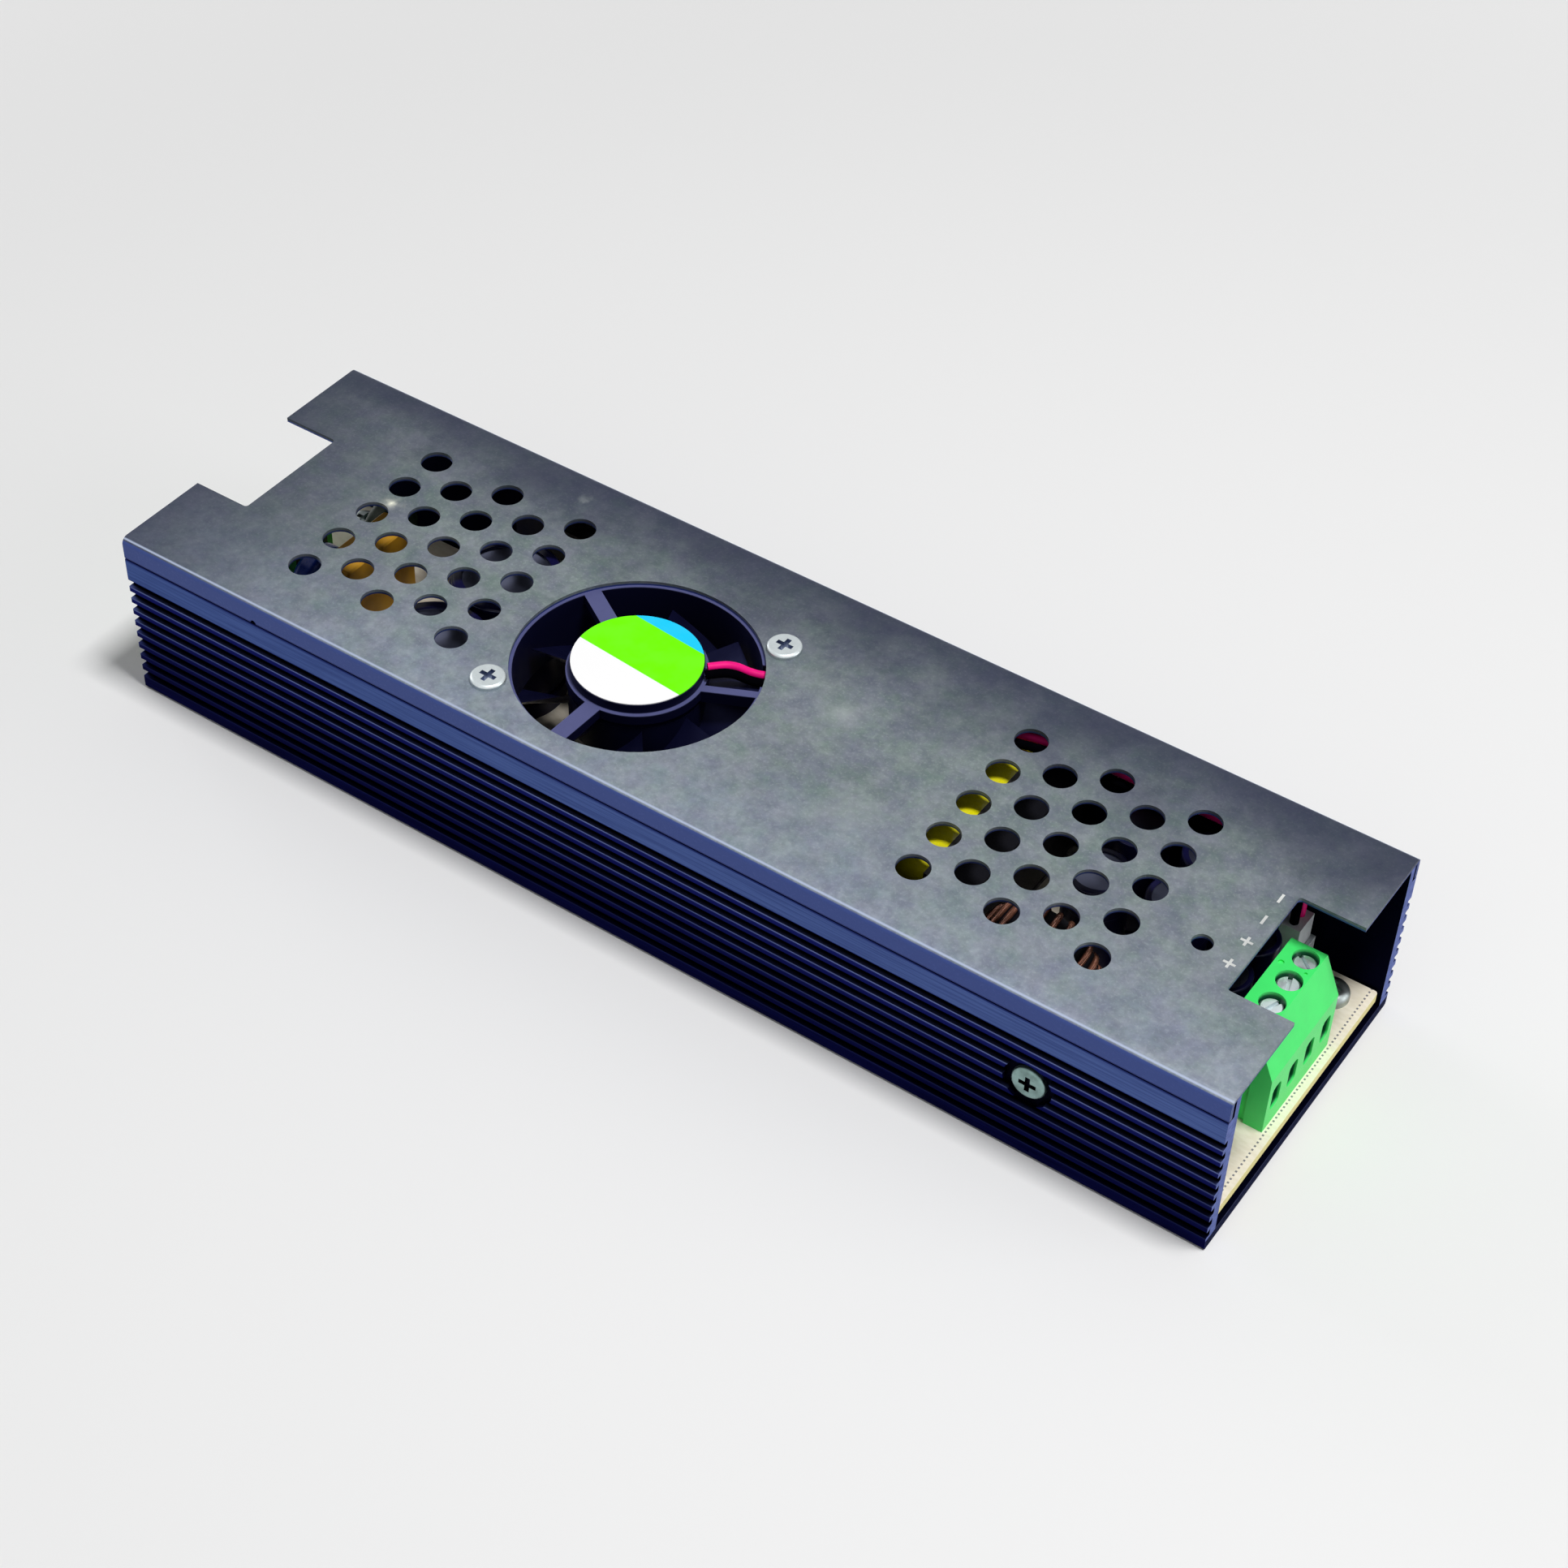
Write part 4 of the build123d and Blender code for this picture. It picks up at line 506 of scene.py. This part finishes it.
def plated_metal(name, colour, roughness, *pieces, scale=5.0, dark=0.6, recesses=(), shade=None):
    """Plated metal with a drawn grain and duller patches; a recess gets a painted shade.
    Each recess is the axis of a screw, its centre, its reach and the level of its rim."""
    made = Finish(name, roughness=roughness, metallic=1.0)
    cloud = made.group("cloud_field", {"Scale": 0.5}).outputs["Value"]
    skin = made.mix(cloud, colour, tuple(dark * value for value in colour))
    for axis, centre, reach, rim in recesses:
        flat = tuple(0.0 if k == axis else 1.0 for k in range(3))
        spread = add_node(made.tree, "ShaderNodeVectorMath", {
            0: made.vector, 1: flat}, operation="MULTIPLY").outputs["Vector"]
        middle = tuple(c * f for c, f in zip(centre, flat))
        away = add_node(made.tree, "ShaderNodeVectorMath", {
            0: spread, 1: middle}, operation="DISTANCE").outputs["Value"]
        level = made.math("ABSOLUTE", (made.x, made.y, made.z)[axis])
        # Painted shade in the recess: near the axis and below the rim
        sunk = made.math("MULTIPLY", made.ramp(away, reach, reach - 0.05),
                         made.ramp(level, rim - 0.02, rim - 0.12))
        skin = made.mix(sunk, skin, shade)
    made.colour(skin)
    made.roughness(made.ramp(cloud, 0.0, 1.0, roughness, roughness + 0.15))
    grain = made.group("drawn_lines", {"Stretch": (1.0, 1.0, 0.3), "Scale": scale})
    made.bump(grain.outputs["Height"], 0.01, 0.4)
    made.dress(*pieces)
    return made


def moulding(name, colour, roughness, *pieces, grain=0.01, dust=0.1, shade=0.8, specular=0.3):
    """Moulded plastic with a fine grain, a slight change of tint and a little dust."""
    made = Finish(name, roughness=roughness, specular=specular)
    field = made.group("moulded_grain", {"Scale": 4.0})
    skin = made.mix(
        field.outputs["Tint"], colour, tuple(shade * value for value in colour))
    settled = made.group("settled_dust", {"Amount": dust}).outputs["Mask"]
    made.colour(made.mix(settled, skin, linear(150, 150, 150)))
    made.roughness(made.ramp(field.outputs["Height"], 0.3, 0.7, roughness, roughness + 0.12))
    made.bump(field.outputs["Height"], grain, 0.5)
    made.dress(*pieces)
    return made


def label_finish(settings):
    """Three plain bands across the round label, divided by two nearly parallel lines."""
    made = Finish("fan_label_bands", roughness=0.5, specular=0.08)
    across = made.math("SUBTRACT", made.x, label_centre.x / MM)
    upward = made.math("SUBTRACT", made.y, label_centre.y / MM)
    line = made.math("ADD", upward, made.math("MULTIPLY", across, LABEL_SLOPE))
    bands = settings.label_near
    for level, band in zip(LABEL_LINES, (settings.label_middle, settings.label_far)):
        bands = made.mix(made.ramp(line, level - 0.05, level + 0.05), bands, band)
    faded = made.group("cloud_field", {"Scale": 0.3, "Low": 0.0, "High": 0.012})
    made.colour(made.mix(faded.outputs["Value"], bands, linear(250, 250, 250)))
    made.dress("fan_label")


def fan_finish(settings):
    """Black moulded fan with a painted highlight on its top corners and struts, and settled dust
    in the same light colour.
    """
    made = Finish("fan_plastic", roughness=0.38, specular=0.12)
    made.tint(settings.rim)
    top = label_low.z / MM - HUB_RISE
    field = made.group("moulded_grain", {"Scale": 3.0})
    # Painted highlight: a band round the frame's top corners
    lit = made.math("MULTIPLY", made.between(made.z, top - 0.12, top + 0.1), 0.55)
    skin = made.mix(lit, settings.plastic, settings.rim)
    # Settled dust on upward faces in the painted highlight colour: dust with painted sheen
    settled = made.group("settled_dust", {"Amount": 0.06}).outputs["Mask"]
    made.colour(made.mix(settled, skin, settings.rim))
    made.bump(field.outputs["Height"], 0.01, 0.5)
    made.dress("fan_frame")
    blades = moulding("fan_blades", settings.plastic, 0.3, "fan_rotor", dust=0.0, specular=0.3)
    blades.tint(settings.rim)
    blades.bump(blades.group("moulded_grain", {"Scale": 1.2}).outputs["Height"], 0.02, 0.4)


def tube_mesh(name, points, radius, outward, sides):
    """Round tube along a path: each ring is the path's point plus radius times the cosine of
    the ring angle along the outward direction and its sine along tangent cross outward.
    Both ends are closed by a pole vertex."""
    tangent = np.gradient(points, axis=0)
    tangent /= np.linalg.norm(tangent, axis=1, keepdims=True)
    side = outward - (outward * tangent).sum(1, keepdims=True) * tangent
    side /= np.linalg.norm(side, axis=1, keepdims=True)
    other = np.cross(tangent, side)
    angle = np.linspace(0, 2 * np.pi, sides, endpoint=False)[None, :, None]
    spokes = np.cos(angle) * side[:, None] + np.sin(angle) * other[:, None]
    rings = points[:, None] + radius * spokes
    count = len(points)
    vertices = np.concatenate([rings.reshape(-1, 3), points[:1], points[-1:]])
    ring, spoke = np.meshgrid(np.arange(count - 1), np.arange(sides), indexing="ij")
    after = (spoke + 1) % sides
    quads = np.stack([
        ring * sides + spoke, ring * sides + after,
        (ring + 1) * sides + after, (ring + 1) * sides + spoke], -1).reshape(-1, 4)
    rim = np.arange(sides)
    turn = (rim + 1) % sides
    first = np.stack([turn, rim, np.full(sides, count * sides)], -1)
    last_ring = (count - 1) * sides
    last = np.stack([last_ring + rim, last_ring + turn, np.full(sides, count * sides + 1)], -1)
    faces = quads.tolist() + first.tolist() + last.tolist()
    mesh = bpy.data.meshes.new(name)
    mesh.from_pydata(vertices.tolist(), [], faces)
    mesh.shade_smooth()
    return mesh


def place_piece(name, mesh, body=CASE_BODY):
    """New piece at the origin that rides on a body."""
    piece = bpy.data.objects.new(name, mesh)
    bpy.context.scene.collection.objects.link(piece)
    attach(piece, body)
    return piece


def join_meshes(name, meshes):
    """One mesh from several, their faces numbered on."""
    vertices, faces, start = [], [], 0
    for mesh in meshes:
        place = np.empty(len(mesh.vertices) * 3, np.float32)
        mesh.vertices.foreach_get("co", place)
        vertices.append(place.reshape(-1, 3))
        faces += [[start + corner for corner in face.vertices] for face in mesh.polygons]
        start += len(mesh.vertices)
        bpy.data.meshes.remove(mesh)
    joined = bpy.data.meshes.new(name)
    joined.from_pydata(np.concatenate(vertices).tolist(), [], faces)
    joined.shade_smooth()
    return joined


def ring_winding(name, low, high, axis, wire, turns, start, end, steps=26, sides=8):
    """Wire wound round a ring core: the winding angle runs round the core's section, a rounded
    box of the core's half sizes plus half a wire, while the ring angle runs from start to end."""
    centre = np.array((low + high) / 2)
    size = np.array(high - low)
    flat = [k for k in range(3) if k != axis]
    outer = size[flat[0]] / 2
    inner = outer * RING_BORE[name]
    middle, half_wall, half_height = (outer + inner) / 2, (outer - inner) / 2, size[axis] / 2
    count = turns * steps
    section = np.linspace(0, 2 * np.pi * turns, count)
    ring = np.radians(np.linspace(start, end, count))
    power = 0.45
    reach = half_wall + wire / 2
    rise = half_height + wire / 2
    cosine = np.sign(np.cos(section)) * np.abs(np.cos(section)) ** power
    sine = np.sign(np.sin(section)) * np.abs(np.sin(section)) ** power
    radial = np.zeros((count, 3))
    radial[:, flat[0]] = np.cos(ring)
    radial[:, flat[1]] = np.sin(ring)
    upward = np.zeros(3)
    upward[axis] = 1.0
    points = centre + radial * (middle + reach * cosine)[:, None] + upward * (rise * sine)[:, None]
    outward = radial * np.cos(section)[:, None] + upward * np.sin(section)[:, None]
    return tube_mesh(name, points, wire / 2, outward, sides)


class SupplyWallFinish(bpy.types.Operator):
    """Anodised finish of the channel case, with painted shade on its inner faces."""

    bl_idname = "supply.wall_finish"
    bl_label = "Channel case"

    def execute(self, context):
        wall_finish(context.scene.supply_case)
        return {"FINISHED"}


class SupplyCoverFinish(bpy.types.Operator):
    """Speckled finish of the sheet cover."""

    bl_idname = "supply.cover_finish"
    bl_label = "Sheet cover"

    def execute(self, context):
        cover_finish(context.scene.supply_case)
        return {"FINISHED"}


class SupplyFasteners(bpy.types.Operator):
    """Plated screws, nuts, bars and cages."""

    bl_idname = "supply.fasteners"
    bl_label = "Screws and clamps"

    def execute(self, context):
        clamp_screws = [name for name in nodes if "_screw_" in name]
        cages = [name for name in nodes if "_cage_" in name]
        low, high = (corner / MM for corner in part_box("fan_screws"))
        reach = HEAD_DIAMETER / 2
        ends = [(low.x + reach, low.y + reach, 0), (high.x - reach, high.y - reach, 0)]
        # Cross recesses of the cover screws' heads, in painted shade
        crosses = [(2, end, 0.6 * reach, high.z) for end in ends]
        plated_metal("cover_screws", linear(200, 208, 210), 0.3, "fan_screws",
                     dark=0.8, recesses=crosses, shade=linear(120, 130, 154))
        low, high = (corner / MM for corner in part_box("wall_screws"))
        rim = high.y
        level = (low.z + high.z) / 2
        # Cross recesses of the side screws' heads, in painted shade
        crosses = [(1, (x, 0, level), 0.6 * reach, rim)
                   for x in (high.x - reach, BRIDGE_SCREW_X, low.x + reach)]
        plated_metal("side_screws", linear(140, 168, 164), 0.3, "wall_screws",
                     recesses=crosses, shade=linear(8, 10, 26))
        plated_metal("zinc_screws", linear(176, 186, 186), 0.3, "board_screws", "hex_nuts")
        plated_metal("clamp_screws", linear(236, 246, 250), 0.36, *clamp_screws, dark=0.8)
        plated_metal("tinned_cages", linear(190, 188, 176), 0.3,
                     "output_contacts", "input_contacts", *cages)
        plated_metal("spring_bars", linear(150, 152, 158), 0.35, "clamp_bars", "fan_shaft")
        plated_metal("sintered_bronze", linear(150, 112, 70), 0.5, "fan_bearing")
        return {"FINISHED"}


class SupplyFanFinish(bpy.types.Operator):
    """Fan, its banded label, its leads and their connector."""

    bl_idname = "supply.fan_finish"
    bl_label = "Fan and leads"

    def execute(self, context):
        settings = context.scene.supply_fan
        fan_finish(settings)
        label_finish(settings)
        moulding("red_insulation", settings.red_lead, 0.4, "fan_lead_red", dust=0.0, specular=0.12)
        moulding("black_insulation", settings.black_lead, 0.5, "fan_lead_black",
                 dust=0.0, specular=0.0)
        moulding("white_nylon", linear(226, 226, 236), 0.4,
                 "fan_header", "fan_plug", "board_spacers", "trimmer_rotor")
        moulding("magnet_rubber", linear(30, 30, 32), 0.6, "fan_magnet")
        return {"FINISHED"}


def hollow_shade_mask(made):
    """Mask of the painted shade in the screw wells and wire entries: round each pole's axis, below
    the skin.
    """
    low, high = (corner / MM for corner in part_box("output_terminal"))
    input_low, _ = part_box("input_terminal")
    ends = made.math("ABSOLUTE", made.x)
    first = made.ramp(made.x, -1.0, 1.0, input_low.y / MM, low.y)
    step = made.math("SUBTRACT", made.y, made.math("ADD", first, POLE_PITCH / 2))
    aside = made.math("PINGPONG", step, POLE_PITCH / 2)
    inward = made.math("SUBTRACT", high.x - WELL_SETBACK, ends)
    reach = made.math("SQRT", made.math(
        "ADD", made.math("MULTIPLY", aside, aside), made.math("MULTIPLY", inward, inward)))
    radius, half_entry = WELL_DIAMETER / 2, ENTRY_WIDTH / 2
    well_shade = made.math("MULTIPLY", made.ramp(reach, radius + 0.06, radius + 0.02),
                     made.ramp(made.z, high.z - 0.1, high.z - 0.9))
    entry = made.math("MULTIPLY", made.ramp(aside, half_entry + 0.06, half_entry + 0.02),
                      made.ramp(ends, high.x - 0.1, high.x - 0.5))
    brow = board_high.z / MM + BLOCK_FRONT_HEIGHT
    entry = made.math("MULTIPLY", entry, made.ramp(made.z, brow, brow - 0.1))
    return made.math("MAXIMUM", well_shade, entry)


class SupplyTerminals(bpy.types.Operator):
    """Green terminal blocks of both ends."""

    bl_idname = "supply.terminals"
    bl_label = "Terminal blocks"

    def execute(self, context):
        settings = context.scene.supply_board
        made = moulding("terminal_green", settings.terminal, 0.34,
                        "output_terminal", "input_terminal", grain=0.006, dust=0.0, shade=0.94)
        # Painted shade in the wells and wire entries
        made.colour(made.mix(hollow_shade_mask(made), made.skin, settings.well_shade))
        return {"FINISHED"}


class SupplyWindings(bpy.types.Operator):
    """Wire turns of the output choke and the line choke, wound as tubes."""

    bl_idname = "supply.windings"
    bl_label = "Windings"

    def execute(self, context):
        settings = context.scene.supply_board
        turns = ring_winding("output_choke_turns", choke_low, choke_high, 1, settings.wire,
                             settings.turns, *CHOKE_SPAN)
        output_turns = place_piece("output_choke_turns", turns)
        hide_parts("output_choke_winding")
        coils = [
            ring_winding(name, line_choke_low, line_choke_high, 2, settings.line_wire,
                         settings.line_turns, middle - LINE_HALF_SPAN, middle + LINE_HALF_SPAN)
            for name, middle in (("line_turns_near", -90), ("line_turns_far", 90))
        ]
        line_turns = place_piece("line_choke_turns", join_meshes("line_choke_turns", coils))
        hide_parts("line_choke_windings")
        made = Finish("enamelled_copper", roughness=0.26, metallic=0.75)
        cloud = made.group("cloud_field", {"Scale": 0.6}).outputs["Value"]
        made.colour(made.mix(cloud, settings.copper, tuple(0.6 * c for c in settings.copper)))
        made.shader.inputs["Coat Weight"].default_value = 0.5
        made.dress("output_choke_turns", "line_choke_turns", "fan_stator")
        return {"FINISHED"}


def can_finish(settings):
    """Shrink sleeve over the sides and the rolled rim, bare metal in the dished top."""
    made = Finish("can_sleeve", roughness=0.35, specular=0.2)
    field = made.group("moulded_grain", {"Scale": 1.5})
    sleeve = made.mix(field.outputs["Tint"], settings.sleeve,
                      tuple(0.75 * value for value in settings.sleeve))
    metal = None
    for name, diameter in CAN_DIAMETERS.items():
        _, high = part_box(name)
        dish = high.z / MM - diameter / 50
        level = made.between(made.z, dish - 0.03, dish + 0.03, 0.015)
        metal = level if metal is None else made.math("MAXIMUM", metal, level)
    made.colour(made.mix(metal, sleeve, linear(96, 100, 122)))
    made.metallic(metal)
    made.dress(*CAN_DIAMETERS)


def board_finish(settings):
    """Cream laminate with a printed foot line before each block and a paler sawn edge."""
    made = Finish("laminate", roughness=0.45)
    along = made.math("ABSOLUTE", made.x)
    fibres = made.group("drawn_lines", {"Stretch": (0.4, 1.0, 1.0), "Scale": 1.2})
    face = made.mix(made.ramp(fibres.outputs["Height"], 0.35, 0.65, 0.0, 0.2),
                    settings.laminate, linear(206, 190, 150))
    dash = made.ramp(made.math("PINGPONG", made.y, FOOT_DASH), FOOT_DASH / 2, 0.65 * FOOT_DASH)
    foot = made.math("MULTIPLY", made.between(along, *FOOT_LINE, 0.03), dash)
    face = made.mix(made.math("MULTIPLY", foot, 0.9), face, linear(96, 98, 110))
    edge = made.ramp(along, board_high.x / MM - 0.04, board_high.x / MM - 0.01)
    made.colour(made.mix(edge, face, linear(240, 226, 150)))
    made.dress("circuit_board")


def device_finish():
    """Black epoxy bodies with tinned tabs and legs."""
    made = Finish("power_devices", roughness=0.42)
    outward = made.math("ABSOLUTE", made.y)
    tab = made.ramp(outward, TAB_FROM - 0.05, TAB_FROM + 0.05)
    legs = made.ramp(made.z, LEG_TOP + 0.05, LEG_TOP - 0.05)
    metal = made.math("MAXIMUM", tab, legs)
    made.colour(made.mix(metal, linear(30, 30, 32), linear(196, 196, 200)))
    made.metallic(metal)
    made.dress("mosfets", "output_rectifiers")
    moulding("bridge_epoxy", linear(28, 28, 30), 0.45, "bridge_rectifier")


class SupplyBoardParts(bpy.types.Operator):
    """Board, cans, transformer, discs, fuse and power devices."""

    bl_idname = "supply.board_parts"
    bl_label = "Board parts"

    def execute(self, context):
        settings = context.scene.supply_board
        board_finish(settings)
        can_finish(settings)
        device_finish()
        moulding("black_film", linear(3, 4, 20), 0.5, "insulating_sheet",
                 grain=0.003, dust=0.0, specular=0.05)
        moulding("silicone_pad", linear(120, 122, 126), 0.7, "thermal_pads")
        moulding("ferrite", linear(12, 12, 20), 0.6, "transformer_core", "output_choke_core",
                 "line_choke_core", grain=0.03, dust=0.0, specular=0.12)
        moulding("phenolic_bobbin", linear(26, 24, 24), 0.45, "transformer_bobbin")
        moulding("blue_dip", linear(28, 70, 190), 0.25, "varistor", "safety_capacitors")
        moulding("dark_dip", linear(34, 52, 38), 0.4, "inrush_thermistor")
        moulding("yellow_case", linear(206, 150, 30), 0.4, "line_capacitor")
        moulding("fuse_case", linear(48, 34, 30), 0.35, "fuse")
        moulding("trimmer_case", linear(52, 44, 130), 0.35, "trimmer_body")
        tape = moulding("polyester_tape", settings.tape, 0.22, "transformer_winding")
        layer = tape.ramp(tape.math("PINGPONG", tape.z, 0.6), 0.02, 0.1, 0.6, 1.0)
        tape.shader.inputs["Coat Weight"].default_value = 0.3
        tape.bump(layer, 0.02, 0.3)
        return {"FINISHED"}


def sign_bar(centre, along_x, along_y, rise):
    """Corners of one flat bar: its centre plus and minus half its sizes, then those above."""
    corner = np.array([(-1, -1, 0), (1, -1, 0), (1, 1, 0), (-1, 1, 0),
                       (-1, -1, 1), (1, -1, 1), (1, 1, 1), (-1, 1, 1)], float)
    size = np.array((along_x / 2, along_y / 2, rise))
    return np.array(centre) + corner * size


BAR_FACES = [(3, 2, 1, 0), (4, 5, 6, 7), (0, 1, 5, 4), (1, 2, 6, 5), (2, 3, 7, 6), (3, 0, 4, 7)]


class SupplySigns(bpy.types.Operator):
    """Plain polarity signs on the cover before the output poles."""

    bl_idname = "supply.signs"
    bl_label = "Polarity signs"

    def execute(self, context):
        top = cover_high.z
        low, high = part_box("output_contacts")
        edge = CONTACT_HALF_WIDTH * MM
        poles = np.linspace(low.y + edge, high.y - edge, POLE_COUNT)
        length, width, rise = (size * MM for size in (SIGN_LENGTH, SIGN_WIDTH, SIGN_RISE))
        bars = []
        for number, pole in enumerate(poles):
            centre = (SIGN_X * MM, pole, top)
            bars.append(sign_bar(centre, width, length, rise))
            if number < POLE_COUNT / 2:
                bars.append(sign_bar(centre, length, width, 1.2 * rise))
        faces = [[8 * number + corner for corner in face]
                 for number in range(len(bars)) for face in BAR_FACES]
        mesh = bpy.data.meshes.new("polarity_signs")
        mesh.from_pydata(np.concatenate(bars).tolist(), [], faces)
        piece = place_piece("polarity_signs", mesh)
        moulding("white_print", linear(214, 216, 214), 0.5, "polarity_signs", dust=0.0)
        return {"FINISHED"}


CAMERA_TARGET = Vector((8.208, 0.496, 16.0)) * MM
CAMERA_DISTANCE = 455.557 * MM
CAMERA_AZIMUTH, CAMERA_ELEVATION, CAMERA_ROLL = 33.109, 43.764, 2.018
FOCAL_PIXELS, PICTURE_PIXELS, SENSOR = 3679.34, 1932, 36.0


def view_axes(azimuth, elevation):
    """Backward, right and upward directions of a camera that looks at the object."""
    turn, rise = math.radians(azimuth), math.radians(elevation)
    level = Vector((math.sin(turn), -math.cos(turn), 0))
    back = level * math.cos(rise) + Vector((0, 0, math.sin(rise)))
    right = Vector((math.cos(turn), math.sin(turn), 0))
    return back, right, back.cross(right)


class SupplyCamera(bpy.types.Operator):
    """Camera at the photograph's viewing angle."""

    bl_idname = "supply.camera"
    bl_label = "Camera"

    def execute(self, context):
        back, right, upward = view_axes(CAMERA_AZIMUTH, CAMERA_ELEVATION)
        roll = math.radians(CAMERA_ROLL)
        level = right * math.cos(roll) + upward * math.sin(roll)
        raised = upward * math.cos(roll) - right * math.sin(roll)
        lens = bpy.data.cameras.new("view_camera")
        lens.sensor_width = SENSOR
        lens.lens = SENSOR * FOCAL_PIXELS / PICTURE_PIXELS
        lens.clip_start = 0.01
        camera = bpy.data.objects.new("view_camera", lens)
        rows = Matrix((level, raised, back)).transposed().to_4x4()
        rows.translation = CAMERA_TARGET + back * CAMERA_DISTANCE
        camera.matrix_world = rows
        context.scene.collection.objects.link(camera)
        context.scene.camera = camera
        return {"FINISHED"}


def area_lamp(name, place, size, power):
    """Square lamp at a place, facing the middle of the object."""
    lamp = bpy.data.lights.new(name, "AREA")
    lamp.shape = "SQUARE"
    lamp.size = size
    lamp.energy = power
    made = bpy.data.objects.new(name, lamp)
    made.location = place
    away = (Vector(place) - CAMERA_TARGET).normalized()
    made.rotation_mode = "QUATERNION"
    made.rotation_quaternion = away.to_track_quat("Z", "Y")
    bpy.context.scene.collection.objects.link(made)


class SupplyStage(bpy.types.Operator):
    """Pale floor, soft lamps and plain surroundings."""

    bl_idname = "supply.stage"
    bl_label = "Stage"

    def execute(self, context):
        settings = context.scene.supply_stage
        reach = settings.floor_half
        mesh = bpy.data.meshes.new("floor")
        mesh.from_pydata([(-reach, -reach, 0), (reach, -reach, 0), (reach, reach, 0),
                          (-reach, reach, 0)], [], [(0, 1, 2, 3)])
        floor = bpy.data.objects.new("floor", mesh)
        context.scene.collection.objects.link(floor)
        paint = bpy.data.materials.new("pale_floor")
        paint.use_nodes = True
        shader = paint.node_tree.nodes["Principled BSDF"]
        shader.inputs["Base Color"].default_value = (*settings.floor, 1.0)
        shader.inputs["Roughness"].default_value = 0.9
        place = add_node(paint.node_tree, "ShaderNodeTexCoord").outputs["Object"]
        away = add_node(paint.node_tree, "ShaderNodeVectorMath", {0: place}, operation="LENGTH")
        fade = ramp_between(paint.node_tree, away.outputs["Value"], *FLOOR_FADE, 1.0, 0.0)
        paint.node_tree.links.new(fade, shader.inputs["Alpha"])
        mesh.materials.append(paint)
        area_lamp("softbox", (0.25, 0.0, 0.97), 0.2, settings.softbox)
        area_lamp("front_fill", (0.1, -0.9, 0.55), 0.9, settings.fill)
        area_lamp("back_fill", (-0.88, 0.12, 0.36), 0.5, settings.end_fill)
        area_lamp("end_fill", (0.88, 0.3, 0.35), 0.6, settings.end_fill)
        world = bpy.data.worlds.new("plain_surroundings")
        context.scene.world = world
        world.use_nodes = True
        sky = world.node_tree.nodes["Background"]
        sky.inputs["Color"].default_value = (1.0, 1.0, 1.0, 1.0)
        rays = add_node(world.node_tree, "ShaderNodeLightPath")
        seen = rays.outputs["Is Camera Ray"]
        for kind in ("Is Glossy Ray", "Is Transmission Ray"):
            seen = arithmetic(world.node_tree, "MAXIMUM", seen, rays.outputs[kind])
        strength = ramp_between(world.node_tree, seen, 0.0, 1.0, settings.sky, 1.0, smooth=False)
        world.node_tree.links.new(strength, sky.inputs["Strength"])
        context.scene.view_settings.view_transform = "Standard"
        return {"FINISHED"}


OPERATORS = (
    SupplyCamera,
    SupplyWallFinish,
    SupplyCoverFinish,
    SupplyFasteners,
    SupplyFanFinish,
    SupplyTerminals,
    SupplyWindings,
    SupplyBoardParts,
    SupplySigns,
    SupplyStage,
)


class SupplyPanel(bpy.types.Panel):
    """Lists the pieces of the supply."""

    bl_idname = "VIEW3D_PT_supply"
    bl_label = "Supply"
    bl_space_type = "VIEW_3D"
    bl_region_type = "UI"
    bl_category = "Supply"

    def draw(self, context):
        for operator in OPERATORS:
            self.layout.operator(operator.bl_idname)


SETTINGS = {
    "supply_case": SupplyCaseSettings,
    "supply_fan": SupplyFanSettings,
    "supply_board": SupplyBoardSettings,
    "supply_stage": SupplyStageSettings,
}


def register():
    for made in (*SETTINGS.values(), *OPERATORS, SupplyPanel):
        bpy.utils.register_class(made)
    for name, group in SETTINGS.items():
        setattr(bpy.types.Scene, name, bpy.props.PointerProperty(type=group))


def unregister():
    for name in SETTINGS:
        delattr(bpy.types.Scene, name)
    for made in (SupplyPanel, *reversed(OPERATORS), *reversed(list(SETTINGS.values()))):
        bpy.utils.unregister_class(made)


def main():
    register()
    build_groups()
    for operator in OPERATORS:
        area, name = operator.bl_idname.split(".")
        getattr(getattr(bpy.ops, area), name)()


if __name__ == "__main__":
    main()
